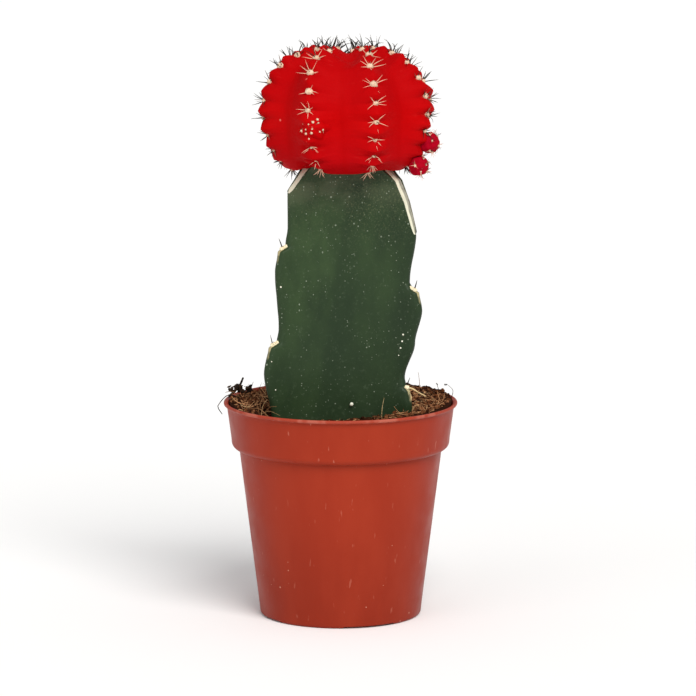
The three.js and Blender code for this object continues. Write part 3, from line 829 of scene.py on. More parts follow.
def litter_shape(steps=14):
    """The strands as tapering, slightly uneven tubes, and the flakes as flat uneven lumps."""
    rng = np.random.default_rng(47)
    shapes = []
    for strand in (*DARK_TWIGS, *STRAW_AND_HUSK, *THIN_SPRIGS):
        path = even_path(np.array(strand.through, float), steps)
        normal = unit(np.cross(path[-1] - path[0], path[steps // 2] - path[0]) + (0, 1e-3, 0))
        radii = np.linspace(*strand.radii, steps) * (1 + 0.15 * rng.uniform(-1, 1, steps))
        shapes.append(tubes(path[None], radii[None], normal[None], 7, np.array([strand.tint])))
    for heap in FLAKES:
        places = np.array(heap.middle) + rng.uniform(-1, 1, (heap.count, 3)) * np.array(heap.spread)
        proportions = rng.uniform((0.7, 0.4, 0.12), (1.0, 0.8, 0.3), (heap.count, 3))
        sizes = heap.size * rng.uniform(0.35, 1, (heap.count, 1)) * proportions
        shapes.append(lumps(places, sizes, rng, 4, 9, 0.32, rng.uniform(*heap.tints, heap.count)))
    return together(shapes)


# White grains in the mix as (place, size), and on the near faces of the stem as (number of the wing,
# height, distance from the stem's axis, size).
MIX_GRAINS = (((3.1, -8.3, 60.4), (0.52, 0.48, 0.52)), ((-12.0, 20.0, 58.7), (0.3, 0.35, 0.3)),
              ((25.6, 8.0, 59.6), (0.35, 0.3, 0.3)), ((8.0, 20.0, 58.6), (0.6, 0.5, 0.5)))
STEM_GRAINS = ((1, 80.3, 18.9, 0.29), (1, 78.4, 18.6, 0.27), (1, 76.5, 18.1, 0.26), (1, 74.4, 17.5, 0.18),
               (0, 93.7, 21.6, 0.26), (0, 73.2, 24.6, 0.17), (0, 65.2, 23.4, 0.2))


def perlite_shape(stem_settings):
    """White perlite grains: one at the foot of the stem, a few in the mix, and small ones on the wings."""
    rng = np.random.default_rng(53)
    places, sizes = (list(column) for column in zip(*MIX_GRAINS))
    for wing_number, height, reach, size in STEM_GRAINS:
        wing = WINGS[wing_number]
        u, v, _ = wing_section(wing, np.array([height]), stem_settings)
        azimuth = math.radians(wing["azimuth"])
        near_side = -1 if wing["azimuth"] > 0 else 1
        thickness = near_side * np.interp(reach, u[0, ::-1], v[0, ::-1])
        on_face = around(reach, azimuth, height) + thickness * beside(azimuth)
        places.append(on_face + (PLANT_X, 0, 0))
        sizes.append((size, size, size))
    return lumps(np.array(places), np.array(sizes), rng, 8, 12, 0.08)


def soil_material(settings):
    """Moist peat and coir: dark, mid and rusty browns by noise and by each crumb's own tint."""
    nodes = Finish("Peat and coir", 0.88, 0.06, settings.colour)
    patches = nodes.noise(420, 4.0, 0.65)
    shade = nodes.maths("ADD", nodes.product(nodes.point_value("tint"), 0.55), nodes.product(patches, 0.6))
    nodes.coat(nodes.stepped(shade, 0.42, 0.62), (0.140, 0.046, 0.0165))
    nodes.coat(nodes.stepped(shade, 0.70, 0.90), (0.27, 0.115, 0.052))
    nodes.bump(nodes.noise(1500, 4.0, 0.7), 0.0003, 0.8)
    return nodes.finished()


def fibre_material():
    """Coir: rusty brown to tan by each fibre's tint, with a few straw-coloured ones, darker in streaks."""
    nodes = Finish("Coir fibre", 0.75, 0.1, (0.085, 0.022, 0.006))
    tint = nodes.point_value("tint")
    nodes.coat(nodes.stepped(tint, 0.25, 0.8), (0.70, 0.36, 0.170))
    nodes.coat(nodes.stepped(tint, 0.90, 0.99), (0.66, 0.46, 0.23))
    nodes.coat(nodes.stepped(nodes.noise(900), 0.45, 0.75, 0.0, 0.5), (0.08, 0.024, 0.008))
    return nodes.finished()


def litter_material():
    """Litter from near-black bark over brown to pale straw by tint, with fine brown mottling."""
    nodes = Finish("Bark and straw", 0.8, 0.1, (0.010, 0.007, 0.006))
    tint = nodes.point_value("tint")
    nodes.coat(nodes.stepped(tint, 0.0, 0.5), (0.26, 0.12, 0.05))
    nodes.coat(nodes.stepped(tint, 0.5, 0.95), (0.78, 0.58, 0.30))
    mottling = nodes.noise(1100)
    nodes.coat(nodes.stepped(mottling, 0.45, 0.7, 0.0, 0.45), (0.17, 0.085, 0.038))
    nodes.bump(mottling, 0.0002, 0.6)
    return nodes.finished()


def perlite_material():
    """Cream-white mineral grain with faint darker pits."""
    nodes = Finish("Perlite", 0.6, 0.4, (0.86, 0.85, 0.72))
    nodes.coat(nodes.stepped(nodes.noise(1800, 2.0), 0.4, 0.7), (0.62, 0.59, 0.44))
    return nodes.finished()


# ---- stem ----

def wing_section(wing, z, settings, tip_steps=9, face_steps=28):
    """Half of a wing's section at heights z, from the margin to near the valley, as distances (u, v).

    The margin is a half ellipse; where the wing is cut it is a flat end. From there the half
    thickness grows inwards as a power of the distance, up to the valley between two wings.
    """
    z = z[:, None]
    valley, margin_half = settings.valley / MM, settings.margin_half / MM
    core_half = valley * math.sin(math.radians(60))
    full = eased(wing["margin"], z)
    broad = np.mean([eased(wing["margin"], z + shift) for shift in np.linspace(-7, 7, 15)], axis=0)
    heights, reaches = np.array(wing["cut"][::-1], float).T
    reach = np.minimum(full, np.where(z < heights[0], full, np.interp(z, heights, reaches)))
    flat = rising(full - reach, 0, 0.3)
    round_part = 1.3 * (1 - flat)
    start = reach - round_part
    swell = sum(0.35 * bell(z, height - 3.0, 3.2) for height in wing["areoles"])

    def half_thickness(u):
        inward = np.clip((broad - u) / (broad - valley / 2), 0, 1)
        depth = full - u
        bulge = 0.42 * (1 - np.exp(-np.maximum(0, depth) / 1.6)) * (1 - inward)
        shelf = swell * bell(depth, 0, 5.0) * np.clip(depth / 2.0, 0, 1) ** 0.5
        return margin_half + (core_half - margin_half) * inward ** 1.8 + bulge + shelf

    angle = np.linspace(0, np.pi / 2, tip_steps, endpoint=False)
    tip_u = start + round_part * np.cos(angle) - 0.18 * np.cos(angle) * flat
    face_u = start + (valley / 2 - start) * (np.arange(face_steps) / face_steps) ** 1.15
    u = np.concatenate([tip_u, face_u], axis=1)
    v = np.concatenate([half_thickness(start) * np.sin(angle), half_thickness(face_u)], axis=1)
    on_tip = np.arange(u.shape[1]) < tip_steps
    sheared = 1.05 * np.clip((full - reach) / 0.9, 0, 1) ** 0.5 * (1 - 0.38 * rising(z, 117, 8))
    corky = sum(bell(z, height - 0.5, 0.9) + 0.5 * bell(z, height - 2.8, 1.8) for height in wing["areoles"])
    away = 1 if wing["azimuth"] > 0 else -1
    across = away * np.concatenate([np.sin(angle), np.ones(face_steps)])
    values = {
        "cut": flat * on_tip * rising(sheared - v / v[:, tip_steps - 1:tip_steps], 0, 0.12),
        "cork": np.clip(corky, 0, 1) * bell(u, reach, 0.15),
        "margin": bell(u, reach, 2.2),
        "across": np.broadcast_to(across, u.shape),
    }
    return u, v, values


def stem_shape(settings):
    """The three wings' sections stacked up the stem, joined at the valleys, with a gently uneven skin.

    The stem ends a little inside the head, whose hem hangs round it.
    """
    top = GRAFT_Z + 3.5
    z = np.concatenate([np.linspace(STEM_FOOT_Z, 53, 9, endpoint=False), np.linspace(53, top, 220)])
    points = []
    values = {"cut": [], "cork": [], "margin": [], "across": []}
    for wing in WINGS:
        azimuth = math.radians(wing["azimuth"])
        u, v, own = wing_section(wing, z, settings)
        both_u = np.concatenate([u[:, :0:-1], u], axis=1)
        both_v = np.concatenate([-v[:, :0:-1], v], axis=1)
        points.append(around(both_u, azimuth, z[:, None]) + both_v[..., None] * beside(azimuth))
        points.append(around(settings.valley / MM, azimuth + np.pi / 3, z[:, None]))
        for key, value in own.items():
            mirrored = -value if key == "across" else value
            values[key] += [mirrored[:, :0:-1], value, np.zeros((len(z), 1))]
    rings = np.concatenate(points, axis=1)
    outward = unit(rings * (1, 1, 0))
    uneven = 0.16 * noise(rings, 10.0, 3) + 0.07 * noise(rings, 3.5, 4) + 0.02 * noise(rings, 1.2, 5)
    fade = smoothstep((top - z) / 2)[:, None]
    rings = rings + outward * (uneven * fade)[..., None] + (PLANT_X, 0, 0)
    joined = {key: np.concatenate(parts, axis=1) for key, parts in values.items()}
    return closed_rings(rings, (PLANT_X, 0, STEM_FOOT_Z), (PLANT_X, 0, top), joined)


def stem_marks(nodes, height, margin):
    """Pale marks on the skin: dots near the top, gathered flecks, specks on the margins, patches of dust."""
    dots = nodes.product(nodes.specks(800, 0.20, 0.86), nodes.stepped(height, 0.096, 0.122, 0.15, 1.0))
    gathered = nodes.stepped(nodes.noise(60, 2.0), 0.42, 0.60, 0.10, 0.7)
    flecks = nodes.product(nodes.specks(620, 0.12, 0.91, (1, 1, 0.7)), gathered)
    on_margin = nodes.product(nodes.specks(700, 0.20, 0.82), margin)
    patches = nodes.stepped(nodes.noise(150, 2.0), 0.44, 0.60)
    patches = nodes.maths("MAXIMUM", patches, nodes.stepped(height, 0.104, 0.116, 0.0, 0.85))
    dust = nodes.product(nodes.product(nodes.specks(1500, 0.26, 0.76), patches), 0.80)
    marks = nodes.maths("MAXIMUM", dots, flecks)
    marks = nodes.maths("MAXIMUM", marks, on_margin)
    return nodes.maths("MAXIMUM", marks, dust)


def dried_face(nodes, fresh, sideways, stripes):
    """Colour of the cut faces: fresh left of the middle, greyer and seamed right of it, with dark rims."""
    across = nodes.point_value("across")
    older = nodes.stepped(sideways, 0.0, 0.001)
    shaded = nodes.product(older, nodes.stepped(across, -0.05, 0.35))
    dried = nodes.mixed(shaded, fresh, (0.34, 0.33, 0.26))
    seams = nodes.product(older, nodes.stepped(across, -0.2, 0.4, 0.15, 0.8))
    seams = nodes.product(seams, nodes.stepped(stripes, 0.45, 0.65))
    dried = nodes.mixed(seams, dried, (0.12, 0.11, 0.08))
    rim = nodes.stepped(nodes.maths("ABSOLUTE", across), 0.84, 0.97)
    return nodes.mixed(rim, dried, (0.10, 0.085, 0.05))


def stem_material(settings):
    """Waxy dark skin with soft mottling, pale bloom, dots and flecks, corky shelves and dry cut faces.

    Heights and sideways places in it are metres. The hollow between the two near wings runs a
    little sideways as it rises. Painted shade darkens the hollows, the skin right of the near hollow
    and the skin towards the mix; painted light, laid with the dust, lightens patches at the top.
    """
    green = np.array(settings.green)
    bloom = green * (1.40, 1.30, 1.30)
    deep = green * (0.60, 0.62, 0.70)
    nodes = Finish("Green stem skin", 0.5, 0.2, deep)
    sideways, _, height = nodes.add("ShaderNodeSeparateXYZ", {0: nodes.place()}).outputs
    margin = nodes.point_value("margin")
    from_hollow = nodes.maths("SUBTRACT", sideways, nodes.maths("MULTIPLY_ADD", height, 0.14, -0.0148))
    mottle = nodes.noise(75, 4.0, 0.6, (1, 1, 0.45))
    fine = nodes.noise(950, 3.0, 0.7)
    stripes = nodes.noise(900, stretch=(1, 1, 0.12))

    nodes.coat(nodes.stepped(mottle, 0.32, 0.68), bloom)
    # Painted shade: the skin darkens towards the mix, most at the mix's level.
    nodes.coat(nodes.stepped(height, 0.066, 0.112, 0.45, 0.0), deep)
    nodes.coat(nodes.stepped(height, 0.056, 0.063, 0.5, 0.0), deep)
    # Painted shade down the middle, where the hollows between the wings are.
    nodes.coat(nodes.stepped(nodes.maths("ABSOLUTE", sideways), 0.0, 0.006, 0.25, 0.0), deep)
    # Painted shade: the skin right of the near hollow is darker, darkest in a band along its crease.
    nodes.coat(nodes.stepped(from_hollow, -0.0006, 0.0009, 0.0, 0.36), deep)
    crease_start = nodes.stepped(from_hollow, -0.0006, 0.0014)
    crease_end = nodes.stepped(from_hollow, 0.0030, 0.0075, 0.36, 0.0)
    nodes.coat(nodes.product(crease_start, crease_end), deep)
    nodes.coat(nodes.stepped(fine, 0.55, 0.8, 0.0, 0.30), (0.105, 0.145, 0.085))
    nodes.coat(nodes.product(margin, 0.40), deep)

    # Dust in patches at the top, laid on thick and more left of the hollow: partly real dust, partly painted
    # light where the head shades the stem.
    dust_and_light = nodes.stepped(nodes.noise(130, stretch=(1, 1, 1.4)), 0.40, 0.60, 0.2, 1.0)
    dust_and_light = nodes.product(dust_and_light, nodes.stepped(from_hollow, 0.0, 0.003, 1.0, 0.55))
    dust_and_light = nodes.product(dust_and_light, nodes.stepped(height, 0.112, 0.121, 0.0, 0.8))
    nodes.coat(dust_and_light, (0.074, 0.092, 0.048))
    grain = nodes.stepped(nodes.noise(1900, 3.0, 0.8), 0.50, 0.78)
    grain = nodes.product(grain, nodes.stepped(height, 0.100, 0.118, 0.0, 0.6))
    grain = nodes.product(grain, nodes.stepped(from_hollow, -0.001, 0.002, 0.4, 1.0))
    nodes.coat(grain, (0.17, 0.19, 0.09))
    marks = stem_marks(nodes, height, margin)
    nodes.coat(nodes.product(marks, 0.62), (0.42, 0.48, 0.36))
    cork = nodes.maths("ADD", nodes.point_value("cork"), nodes.product(fine, 0.3))
    nodes.coat(nodes.stepped(cork, 0.45, 0.85), (0.42, 0.36, 0.19))
    is_cut = nodes.stepped(nodes.point_value("cut"), 0.25, 0.40)
    nodes.coat(is_cut, dried_face(nodes, settings.cut, sideways, stripes))

    nodes.feed("Roughness", nodes.stepped(mottle, 0.3, 0.7, 0.42, 0.56))
    pores = nodes.maths("ADD", nodes.product(fine, 0.6), nodes.product(marks, 1.2))
    nodes.bump(nodes.maths("ADD", pores, nodes.product(stripes, 0.3)), 0.00012, 0.6)
    return nodes.finished()


# ---- areoles: wool and spines ----

class Areoles(NamedTuple):
    """Places on the skin, their outward, upward and sideways directions, and their share of the way up."""
    places: np.ndarray
    outward: np.ndarray
    up: np.ndarray
    side: np.ndarray
    share: np.ndarray


def leaning(areoles, angles, leans):
    """Directions (areoles, spines) that lean from outward, towards an angle measured from upward."""
    outward, up, side = areoles.outward[:, None], areoles.up[:, None], areoles.side[:, None]
    sideways = np.cos(angles)[..., None] * up + np.sin(angles)[..., None] * side
    return np.cos(leans)[..., None] * outward + np.sin(leans)[..., None] * sideways


def spines(areoles, angles, leans, lengths, bends, radius, tint, rng, missing, steps=6):
    """Tapering curved spines from each areole; a share of them is missing.

    angles is (areoles, spines). Each of the other numbers is one for all spines or one for each.
    """
    numbers = (leans, lengths, bends, radius, tint, missing)
    leans, *each = (np.broadcast_to(number, angles.shape) for number in numbers)
    lengths, bends, radius, tint, missing = (number.ravel() for number in each)
    directions = unit(leaning(areoles, angles, leans)).reshape(-1, 3)
    roots = np.repeat(areoles.places, angles.shape[1], axis=0) + directions * 0.1
    roots += 0.22 * (directions - np.repeat(areoles.outward, angles.shape[1], axis=0))
    keep = rng.uniform(0, 1, len(roots)) > missing
    roots, directions = roots[keep], directions[keep]
    normals = square_to(directions, rng)
    paths = arcs(roots, directions, normals, lengths[keep], bends[keep], steps)
    taper = np.interp(np.linspace(0, 1, steps), (0, 0.15, 0.6, 1), (1.15, 1.0, 0.75, 0.22))
    radii = radius[keep][:, None] * taper * rng.uniform(0.85, 1.15, (len(roots), 1))
    return tubes(paths, radii, normals, 4, tint[keep])


def wool(areoles, sizes, rng, hairs=26):
    """Felt pads: an uneven lump on each areole and short hairs that stand out of it."""
    count = len(areoles.places)
    proportions = rng.uniform(0.85, 1.15, (count, 3))
    pads = lumps(areoles.places + 0.1 * areoles.outward, sizes[:, None] * proportions, rng, 9, 14, 0.16,
                 rng.uniform(0.3, 1, count))
    angles = rng.uniform(0, 2 * np.pi, (count, hairs))
    leans = np.arccos(rng.uniform(0.0, 1, (count, hairs)))
    directions = unit(leaning(areoles, angles, leans)).reshape(-1, 3)
    size = np.repeat(sizes, hairs)
    roots = np.repeat(areoles.places, hairs, axis=0) + directions * 0.72 * size[:, None]
    normals = square_to(directions, rng)
    lengths = size * rng.uniform(0.35, 0.75, len(size))
    paths = arcs(roots, directions, normals, lengths, rng.uniform(-1.4, 1.4, len(size)), 4)
    radii = np.broadcast_to((0.05, 0.045, 0.035, 0.02), (len(size), 4))
    return together([pads, tubes(paths, radii, normals, 3, rng.uniform(0.3, 1, len(size)))])


# ---- stem areoles ----

def wing_areoles():
    """One place on the margin for each areole of the wings; outward leans up, as each sits on a shelf."""
    places, azimuths = [], []
    for wing in WINGS:
        azimuth = math.radians(wing["azimuth"])
        for height in wing["areoles"]:
            reach = float(eased(wing["margin"], np.array(height + 0.1))) - 0.7
            places.append(around(reach, azimuth, height + 0.35) + (PLANT_X, 0, 0))
            azimuths.append(azimuth)
    azimuths = np.array(azimuths)
    outward = unit(around(0.62, azimuths, 0.78))
    up = unit(around(-0.78, azimuths, 0.62))
    return Areoles(np.array(places), outward, up, beside(azimuths), np.full(len(azimuths), 0.5))


def stem_wool():
    """Flat cream pads on the shelves, longer out along the wing than across it, with short hairs."""
    rng = np.random.default_rng(61)
    areoles = wing_areoles()
    radial = unit(areoles.outward * (1, 1, 0))
    pads = []
    for shift in (-0.75, 0.0, 0.8):
        shifted = areoles._replace(places=areoles.places + radial * shift - (0, 0, 0.35 * shift))
        pads.append(wool(shifted, np.full(len(radial), 0.62), rng, 30))
    return together(pads)


def stem_spines():
    """One upright spine near the outer end of each pad and up to three short thin ones in its middle."""
    rng = np.random.default_rng(67)
    areoles = wing_areoles()
    count = len(areoles.places)
    radial = unit(areoles.outward * (1, 1, 0))
    outer = areoles._replace(places=areoles.places + radial * 0.75 - (0, 0, 0.3))
    upright = spines(outer, np.zeros((count, 1)), 0.36, 3.1, -0.12, 0.20, 0.16, rng, missing=0)
    angles = np.array([[-1.0, 1.5, 2.6]]) + rng.normal(0, 0.2, (count, 3))
    lengths = rng.uniform(0.8, 1.5, (count, 3))
    small = spines(areoles, angles, 0.8, lengths, 0, 0.09, 0.3, rng, missing=0.3)
    return together([upright, small])


# ---- head ----

def bearing(place, share):
    """Azimuth in radians of a place round the head, counted in ribs.

    Ribs and valleys lean sideways towards the crown, each by its own angle, and all turn a little
    towards the hem and more at the crown.
    """
    marks = np.array([*RIBS, RIBS[0] + 360.0])
    leans = np.array([*CROWN_LEANS, CROWN_LEANS[0]], float)
    azimuth = np.interp(place % len(RIBS), np.arange(len(marks)), marks)
    lean = np.interp(place % len(RIBS), np.arange(len(leans)) / 2, leans)
    turn = 2.5 * (1 - rising(share, 0, 0.3)) + 10 * rising(share, 0.66, 0.15)
    return np.radians(azimuth + lean * rising(share, 0.45, 0.4) + turn)


def rib_lift(rib, share):
    """How far a rib's tubercles are lifted at a share of the way up, in tubercles."""
    return np.array(RIB_LIFTS)[rib % len(RIBS)] * rising(share, 0.12, 0.25)


def hem_lift(azimuth):
    """How far the hem is lifted above the graft: most over the cut shoulder on the left."""
    degrees = (np.degrees(azimuth) + 180) % 360 - 180
    return 0.9 + 2.6 * bell(degrees, -38, 11) + 0.7 * bell(degrees, 36, 14)


def crown_lift(forward, sideways, share):
    """How far the upper skin is lifted.

    It rises a little to the front, hangs to the rear and at the shoulders, and is dished in the middle.
    """
    tilt = 0.03 * np.maximum(0, forward) + 0.17 * np.minimum(0, forward)
    shoulders = 0.07 * np.maximum(0, np.abs(sideways) - 8)
    dish = 0.30 * np.maximum(0, 3.6 - np.hypot(sideways - 0.2, forward))
    return (tilt - shoulders) * rising(share, 0.5, 0.25) - dish * rising(share, 0.6, 0.15)


def crest_rows(row):
    """Point, tangent and share of the way up the crest at rows counted in quarters of a tubercle.

    Tubercles are 4.4 mm long at the hem, up to 6.1 mm on the upper part and 4.4 mm at the crown.
    """
    crest = spline(np.array(CREST, float), np.linspace(0, 1, 4000))
    walked = walked_length(crest)
    lengths = [0.0]
    while lengths[-1] < walked[-1]:
        share = lengths[-1] / walked[-1]
        lengths.append(lengths[-1] + (4.4 + 1.7 * math.sin(math.pi * share ** 1.6)) / 4)
    here = np.minimum(np.interp(row, np.arange(len(lengths)), lengths), walked[-1] - 0.3)
    tangent = unit(along_path(unit(np.gradient(crest, axis=0)), walked, here))
    return along_path(crest, walked, here), tangent, here / walked[-1]


def rib_relief(settings, row, place, share):
    """How far the skin is sunk under the crest's outline, and the values that its colours need.

    The valley is a power of a sine of the distance from the rib's crest. The notch between two
    tubercles is deepest on the crest. A tubercle rises fast from the notch under it and falls
    slowly to the one over it. Neighbouring ribs are half a tubercle out of step. Two faint folds
    cross the flanks of each tubercle on the lower part.
    """
    rib = np.floor(place + 0.5).astype(int)
    offset = place - rib
    flank = np.abs(2 * offset)
    step = (row + 1) / 4 + (rib % 2) / 2 - rib_lift(rib, share)
    phase = step % 1
    fade = np.minimum(1, np.minimum(9 * share, 5 * (1 - share)))
    valley_fade = np.minimum(rising(share, 0, 0.34), 5 * (1 - share))
    valley = settings.valley_depth / MM * np.minimum(1, valley_fade) * np.sin(np.pi / 2 * flank) ** 1.3
    near_crest = bell(offset * 45, 0, 7)
    ramp = np.minimum(phase / 0.42, (1 - phase) / 0.58)
    tooth = 0.6 * ramp + 0.4 * np.sin(np.pi / 2 * ramp)
    notch = settings.notch_depth / MM * fade * (1 - tooth)
    broad = (0.07 + 0.14 * rising(share, 0.2, 0.25)) * np.clip(1 - flank, 0, 1) ** 0.8
    sink = valley + notch * (near_crest + broad * (1 - near_crest))
    on_flank = rising(flank, 0, 0.35) * smoothstep((0.96 - flank) / 0.3)
    folds = bell(phase, 0.5, 0.05) + 0.6 * bell(phase, 0.2, 0.04)
    sink = sink - 0.05 * folds * fade * on_flank * smoothstep((0.62 - share) / 0.15)
    values = {"flank": flank + 0 * row, "step": step + 5.0 * rib, "notch": (1 - tooth) * near_crest * fade,
              "share": share + 0 * place}
    return sink, values


def head_skin(settings, row, place):
    """Points of the skin at a row (in quarter tubercles) and a place round the head (in ribs), with values.

    The relief is sunk square to the crest's outline. One rib on the right stands out less above
    its middle. The hem is lifted over the stem's cut shoulder.
    """
    point, tangent, share = crest_rows(row)
    sink, values = rib_relief(settings, row, place, share)
    azimuth = bearing(place, share)
    weak_rib = bell(np.degrees(azimuth), 108, 22) * rising(share, 0.44, 0.14)
    radius = np.maximum(0.35, point[..., 0] * (1 - 0.075 * weak_rib) - tangent[..., 1] * sink)
    height = GRAFT_Z + point[..., 1] + tangent[..., 0] * sink
    height = height + crown_lift(radius * np.cos(azimuth), radius * np.sin(azimuth), share)
    height = height + hem_lift(azimuth) * (1 - rising(share, 0.02, 0.17))
    return around(radius, azimuth, height) + (PLANT_X, 0, 0), values


# The last row of the head's skin, in quarter tubercles from the hem, and the last one with areoles.
CROWN_ROW = 44.6
LAST_AREOLES = 43


def head_shape(settings, columns=288, rows=262):
    """The head's closed body, with a gently uneven skin."""
    row = np.linspace(0, CROWN_ROW, rows)[:, None]
    place = (np.arange(columns) / columns * len(RIBS))[None]
    skin, values = head_skin(settings, row, place)
    outward = unit(skin - (PLANT_X, 0, GRAFT_Z + 12))
    uneven = 0.30 * noise(skin, 11.0, 71) + 0.11 * noise(skin, 4.0, 72) + 0.03 * noise(skin, 1.4, 73)
    skin = skin + outward * (uneven * rising(values["share"], 0, 0.05))[..., None]
    under = bearing(place, 0.0)
    hem_radii = np.array([[7.5], [14.6]])
    lifts = np.array([[0.0], [1.0]]) * hem_lift(under)
    hem = around(hem_radii, under, GRAFT_Z + lifts) + (PLANT_X, 0, 0)
    rings = np.concatenate([hem, skin])
    values = {key: np.concatenate([value[:1], value[:1], value]) for key, value in values.items()}
    crown = (PLANT_X, 0, float(rings[-1, :, 2].mean()) - 0.2)
    return closed_rings(rings, (PLANT_X, 0, GRAFT_Z), crown, values)


def head_areoles(settings):
    """Areoles in the notches of each rib's crest, from the hem to the crown, without those under a pup.

    Near the hem they face out rather than down.
    """
    rib, count = (grid.ravel() for grid in np.meshgrid(np.arange(len(RIBS)), np.arange(1, 13)))
    row = 4.0 * count - 1.0 - 2.0 * (rib % 2)
    row = row + 4 * rib_lift(rib, crest_rows(row)[2])
    rib, row = rib[row <= LAST_AREOLES], row[row <= LAST_AREOLES]
    places, _ = head_skin(settings, row, rib.astype(float))
    _, tangent, share = crest_rows(row)
    azimuth = bearing(rib, share)
    near_hem = 1 - rising(share, 0, 0.22)
    facing = np.arctan2(-tangent[:, 0], tangent[:, 1]) + 0.7 * near_hem
    outward = around(np.cos(facing), azimuth, np.sin(facing))
    up = around(-np.sin(facing), azimuth, np.cos(facing))
    side = beside(azimuth)
    places = places + outward * (0.25 * near_hem)[:, None]
    clear = np.ones(len(row), bool)
    for pup in PUPS:
        clear &= np.linalg.norm(places - pup_frame(pup)[0], axis=-1) > pup["radius"] + 0.2
    return Areoles(places[clear], outward[clear], up[clear], side[clear], share[clear])


def head_wool(settings):
    """Pads that grow from small at the hem to full on the upper part, and are less full at the crown."""
    rng = np.random.default_rng(79)
    areoles = head_areoles(settings)
    sizes = 0.46 + 0.50 * rising(areoles.share, 0.12, 0.5) - 0.22 * rising(areoles.share, 0.78, 0.08)
    return wool(areoles, sizes * rng.uniform(0.85, 1.12, len(sizes)), rng)


class Growth(NamedTuple):
    """How far the spines of each areole are full grown, at the crown and on the front, from 0 to 1."""
    full: np.ndarray
    at_crown: np.ndarray
    front: np.ndarray


def age_and_shade_tints(rng, growth, count, young, old):
    """Random tints: the young range on the front, the old one elsewhere, whose darker grey is partly painted
    shade.
    """
    shape = (len(growth.front), count)
    return rng.uniform(*young, shape) * growth.front + rng.uniform(*old, shape) * (1 - growth.front)


def spread_spines(areoles, growth, length, rng):
    """Up to seven spines spread low round each areole; near the hem they are swept downward."""
    shape = (len(areoles.places), 7)
    downward = smoothstep((0.34 - areoles.share[:, None]) / 0.3)
    base = np.radians([[-40, 42, -72, 76, -104, 108, 172]]) + rng.normal(0, 0.15, shape)
    angles = np.sign(base) * (np.abs(base) + (np.pi - np.abs(base)) * 0.72 * downward)
    leans = np.radians(rng.uniform(52, 72, shape) - 18 * (np.abs(angles) < 0.9))
    lengths = length * (0.68 + 0.32 * growth.full) * rng.uniform(0.72, 1.15, shape)
    bends = rng.normal(0, 0.28, shape) * (1 + growth.at_crown)
    # Darker tints off the front: partly older spines, partly painted shade.
    tint = age_and_shade_tints(rng, growth, 7, (0.74, 1.0), (0.0, 0.42))
    radius = 0.115 + 0.025 * (1 - growth.front)
    missing = 0.14 + 0.24 * (1 - growth.front) + 0.4 * growth.at_crown
    return spines(areoles, angles, leans, lengths, bends, radius, tint, rng, missing)


def standing_spines(areoles, growth, length, rng):
    """Up to three spines that stand out of each areole, much shorter on the front."""
    shape = (len(areoles.places), 3)
    angles = np.radians([[-30, 28, 150]]) + rng.normal(0, 0.5, shape)
    leans = np.radians(rng.uniform(8, 38, shape))
    lengths = length * (0.70 + 0.35 * growth.full) * rng.uniform(0.8, 1.2, shape) * (1 - 0.62 * growth.front)
    bends = rng.normal(0, 0.55, shape)
    # Darker tints off the front: partly older spines, partly painted shade.
    tint = age_and_shade_tints(rng, growth, 3, (0.15, 0.7), (0.0, 0.22))
    missing = 0.2 + 0.12 * (1 - growth.front) + 0.35 * growth.at_crown
    return spines(areoles, angles, leans, lengths, bends, 0.135, tint, rng, missing)


def curled_spines(areoles, length, rng):
    """Up to three long dark spines that curl out of each areole near the crown."""
    crown = Areoles(*(part[areoles.share > 0.66] for part in areoles))
    shape = (len(crown.places), 3)
    angles = rng.uniform(-np.pi, np.pi, shape)
    leans = np.radians(rng.uniform(4, 38, shape))
    lengths = length * rng.uniform(0.85, 1.42, shape)
    bends = rng.choice([-1, 1], shape) * rng.uniform(0.3, 1.7, shape)
    tint = rng.uniform(0.0, 0.22, shape)
    return spines(crown, angles, leans, lengths, bends, 0.15, tint, rng, 0.15)


def head_spines(settings):
    """Up to seven spread spines and up to three standing ones on each areole, and curled ones at the crown.

    They are pale on the front and darker grey round the sides and the back: partly older spines, partly
    painted shade.
    """
    rng = np.random.default_rng(83)
    areoles = head_areoles(settings)
    length = settings.spine_length / MM
    share = areoles.share[:, None]
    forward = -unit(areoles.outward * (1, 1, 0))[:, 1:2]
    front = rising(forward, 0.45, 0.3) * smoothstep((0.88 - share) / 0.08)
    growth = Growth(rising(share, 0.1, 0.45), rising(share, 0.68, 0.1), front)
    spread = spread_spines(areoles, growth, length, rng)
    standing = standing_spines(areoles, growth, length, rng)
    return together([spread, standing, curled_spines(areoles, length, rng)])


# ---- pups ----

def pup_frame(pup):
    """Centre of a pup and its sideways, upward and outward directions."""
    azimuth = math.radians(pup["azimuth"])
    centre = around(pup["reach"], azimuth, GRAFT_Z + pup["height"]) + (PLANT_X, 0, 0)
    outward = unit(around(1.0, azimuth, 0.12))
    side = beside(azimuth)
    return centre, side, np.cross(side, outward), outward


def pup_surface(pup, longitude, latitude):
    """Points of a pup: a ball with shallow valleys between its lobes and low bumps on them."""
    centre, side, up, outward = pup_frame(pup)
    wave = 0.5 - 0.5 * np.cos(longitude * pup["lobes"])
    bumps = np.cos(latitude * 9 + 2 * longitude)
    radius = pup["radius"] * (1 - 0.13 * wave * np.cos(latitude) ** 1.5 + 0.025 * bumps * np.cos(latitude))
    direction = (np.cos(latitude) * np.cos(longitude))[..., None] * side
    direction = direction + (np.cos(latitude) * np.sin(longitude))[..., None] * up
    direction = direction + np.sin(latitude)[..., None] * outward
    return centre + radius[..., None] * direction, direction, wave


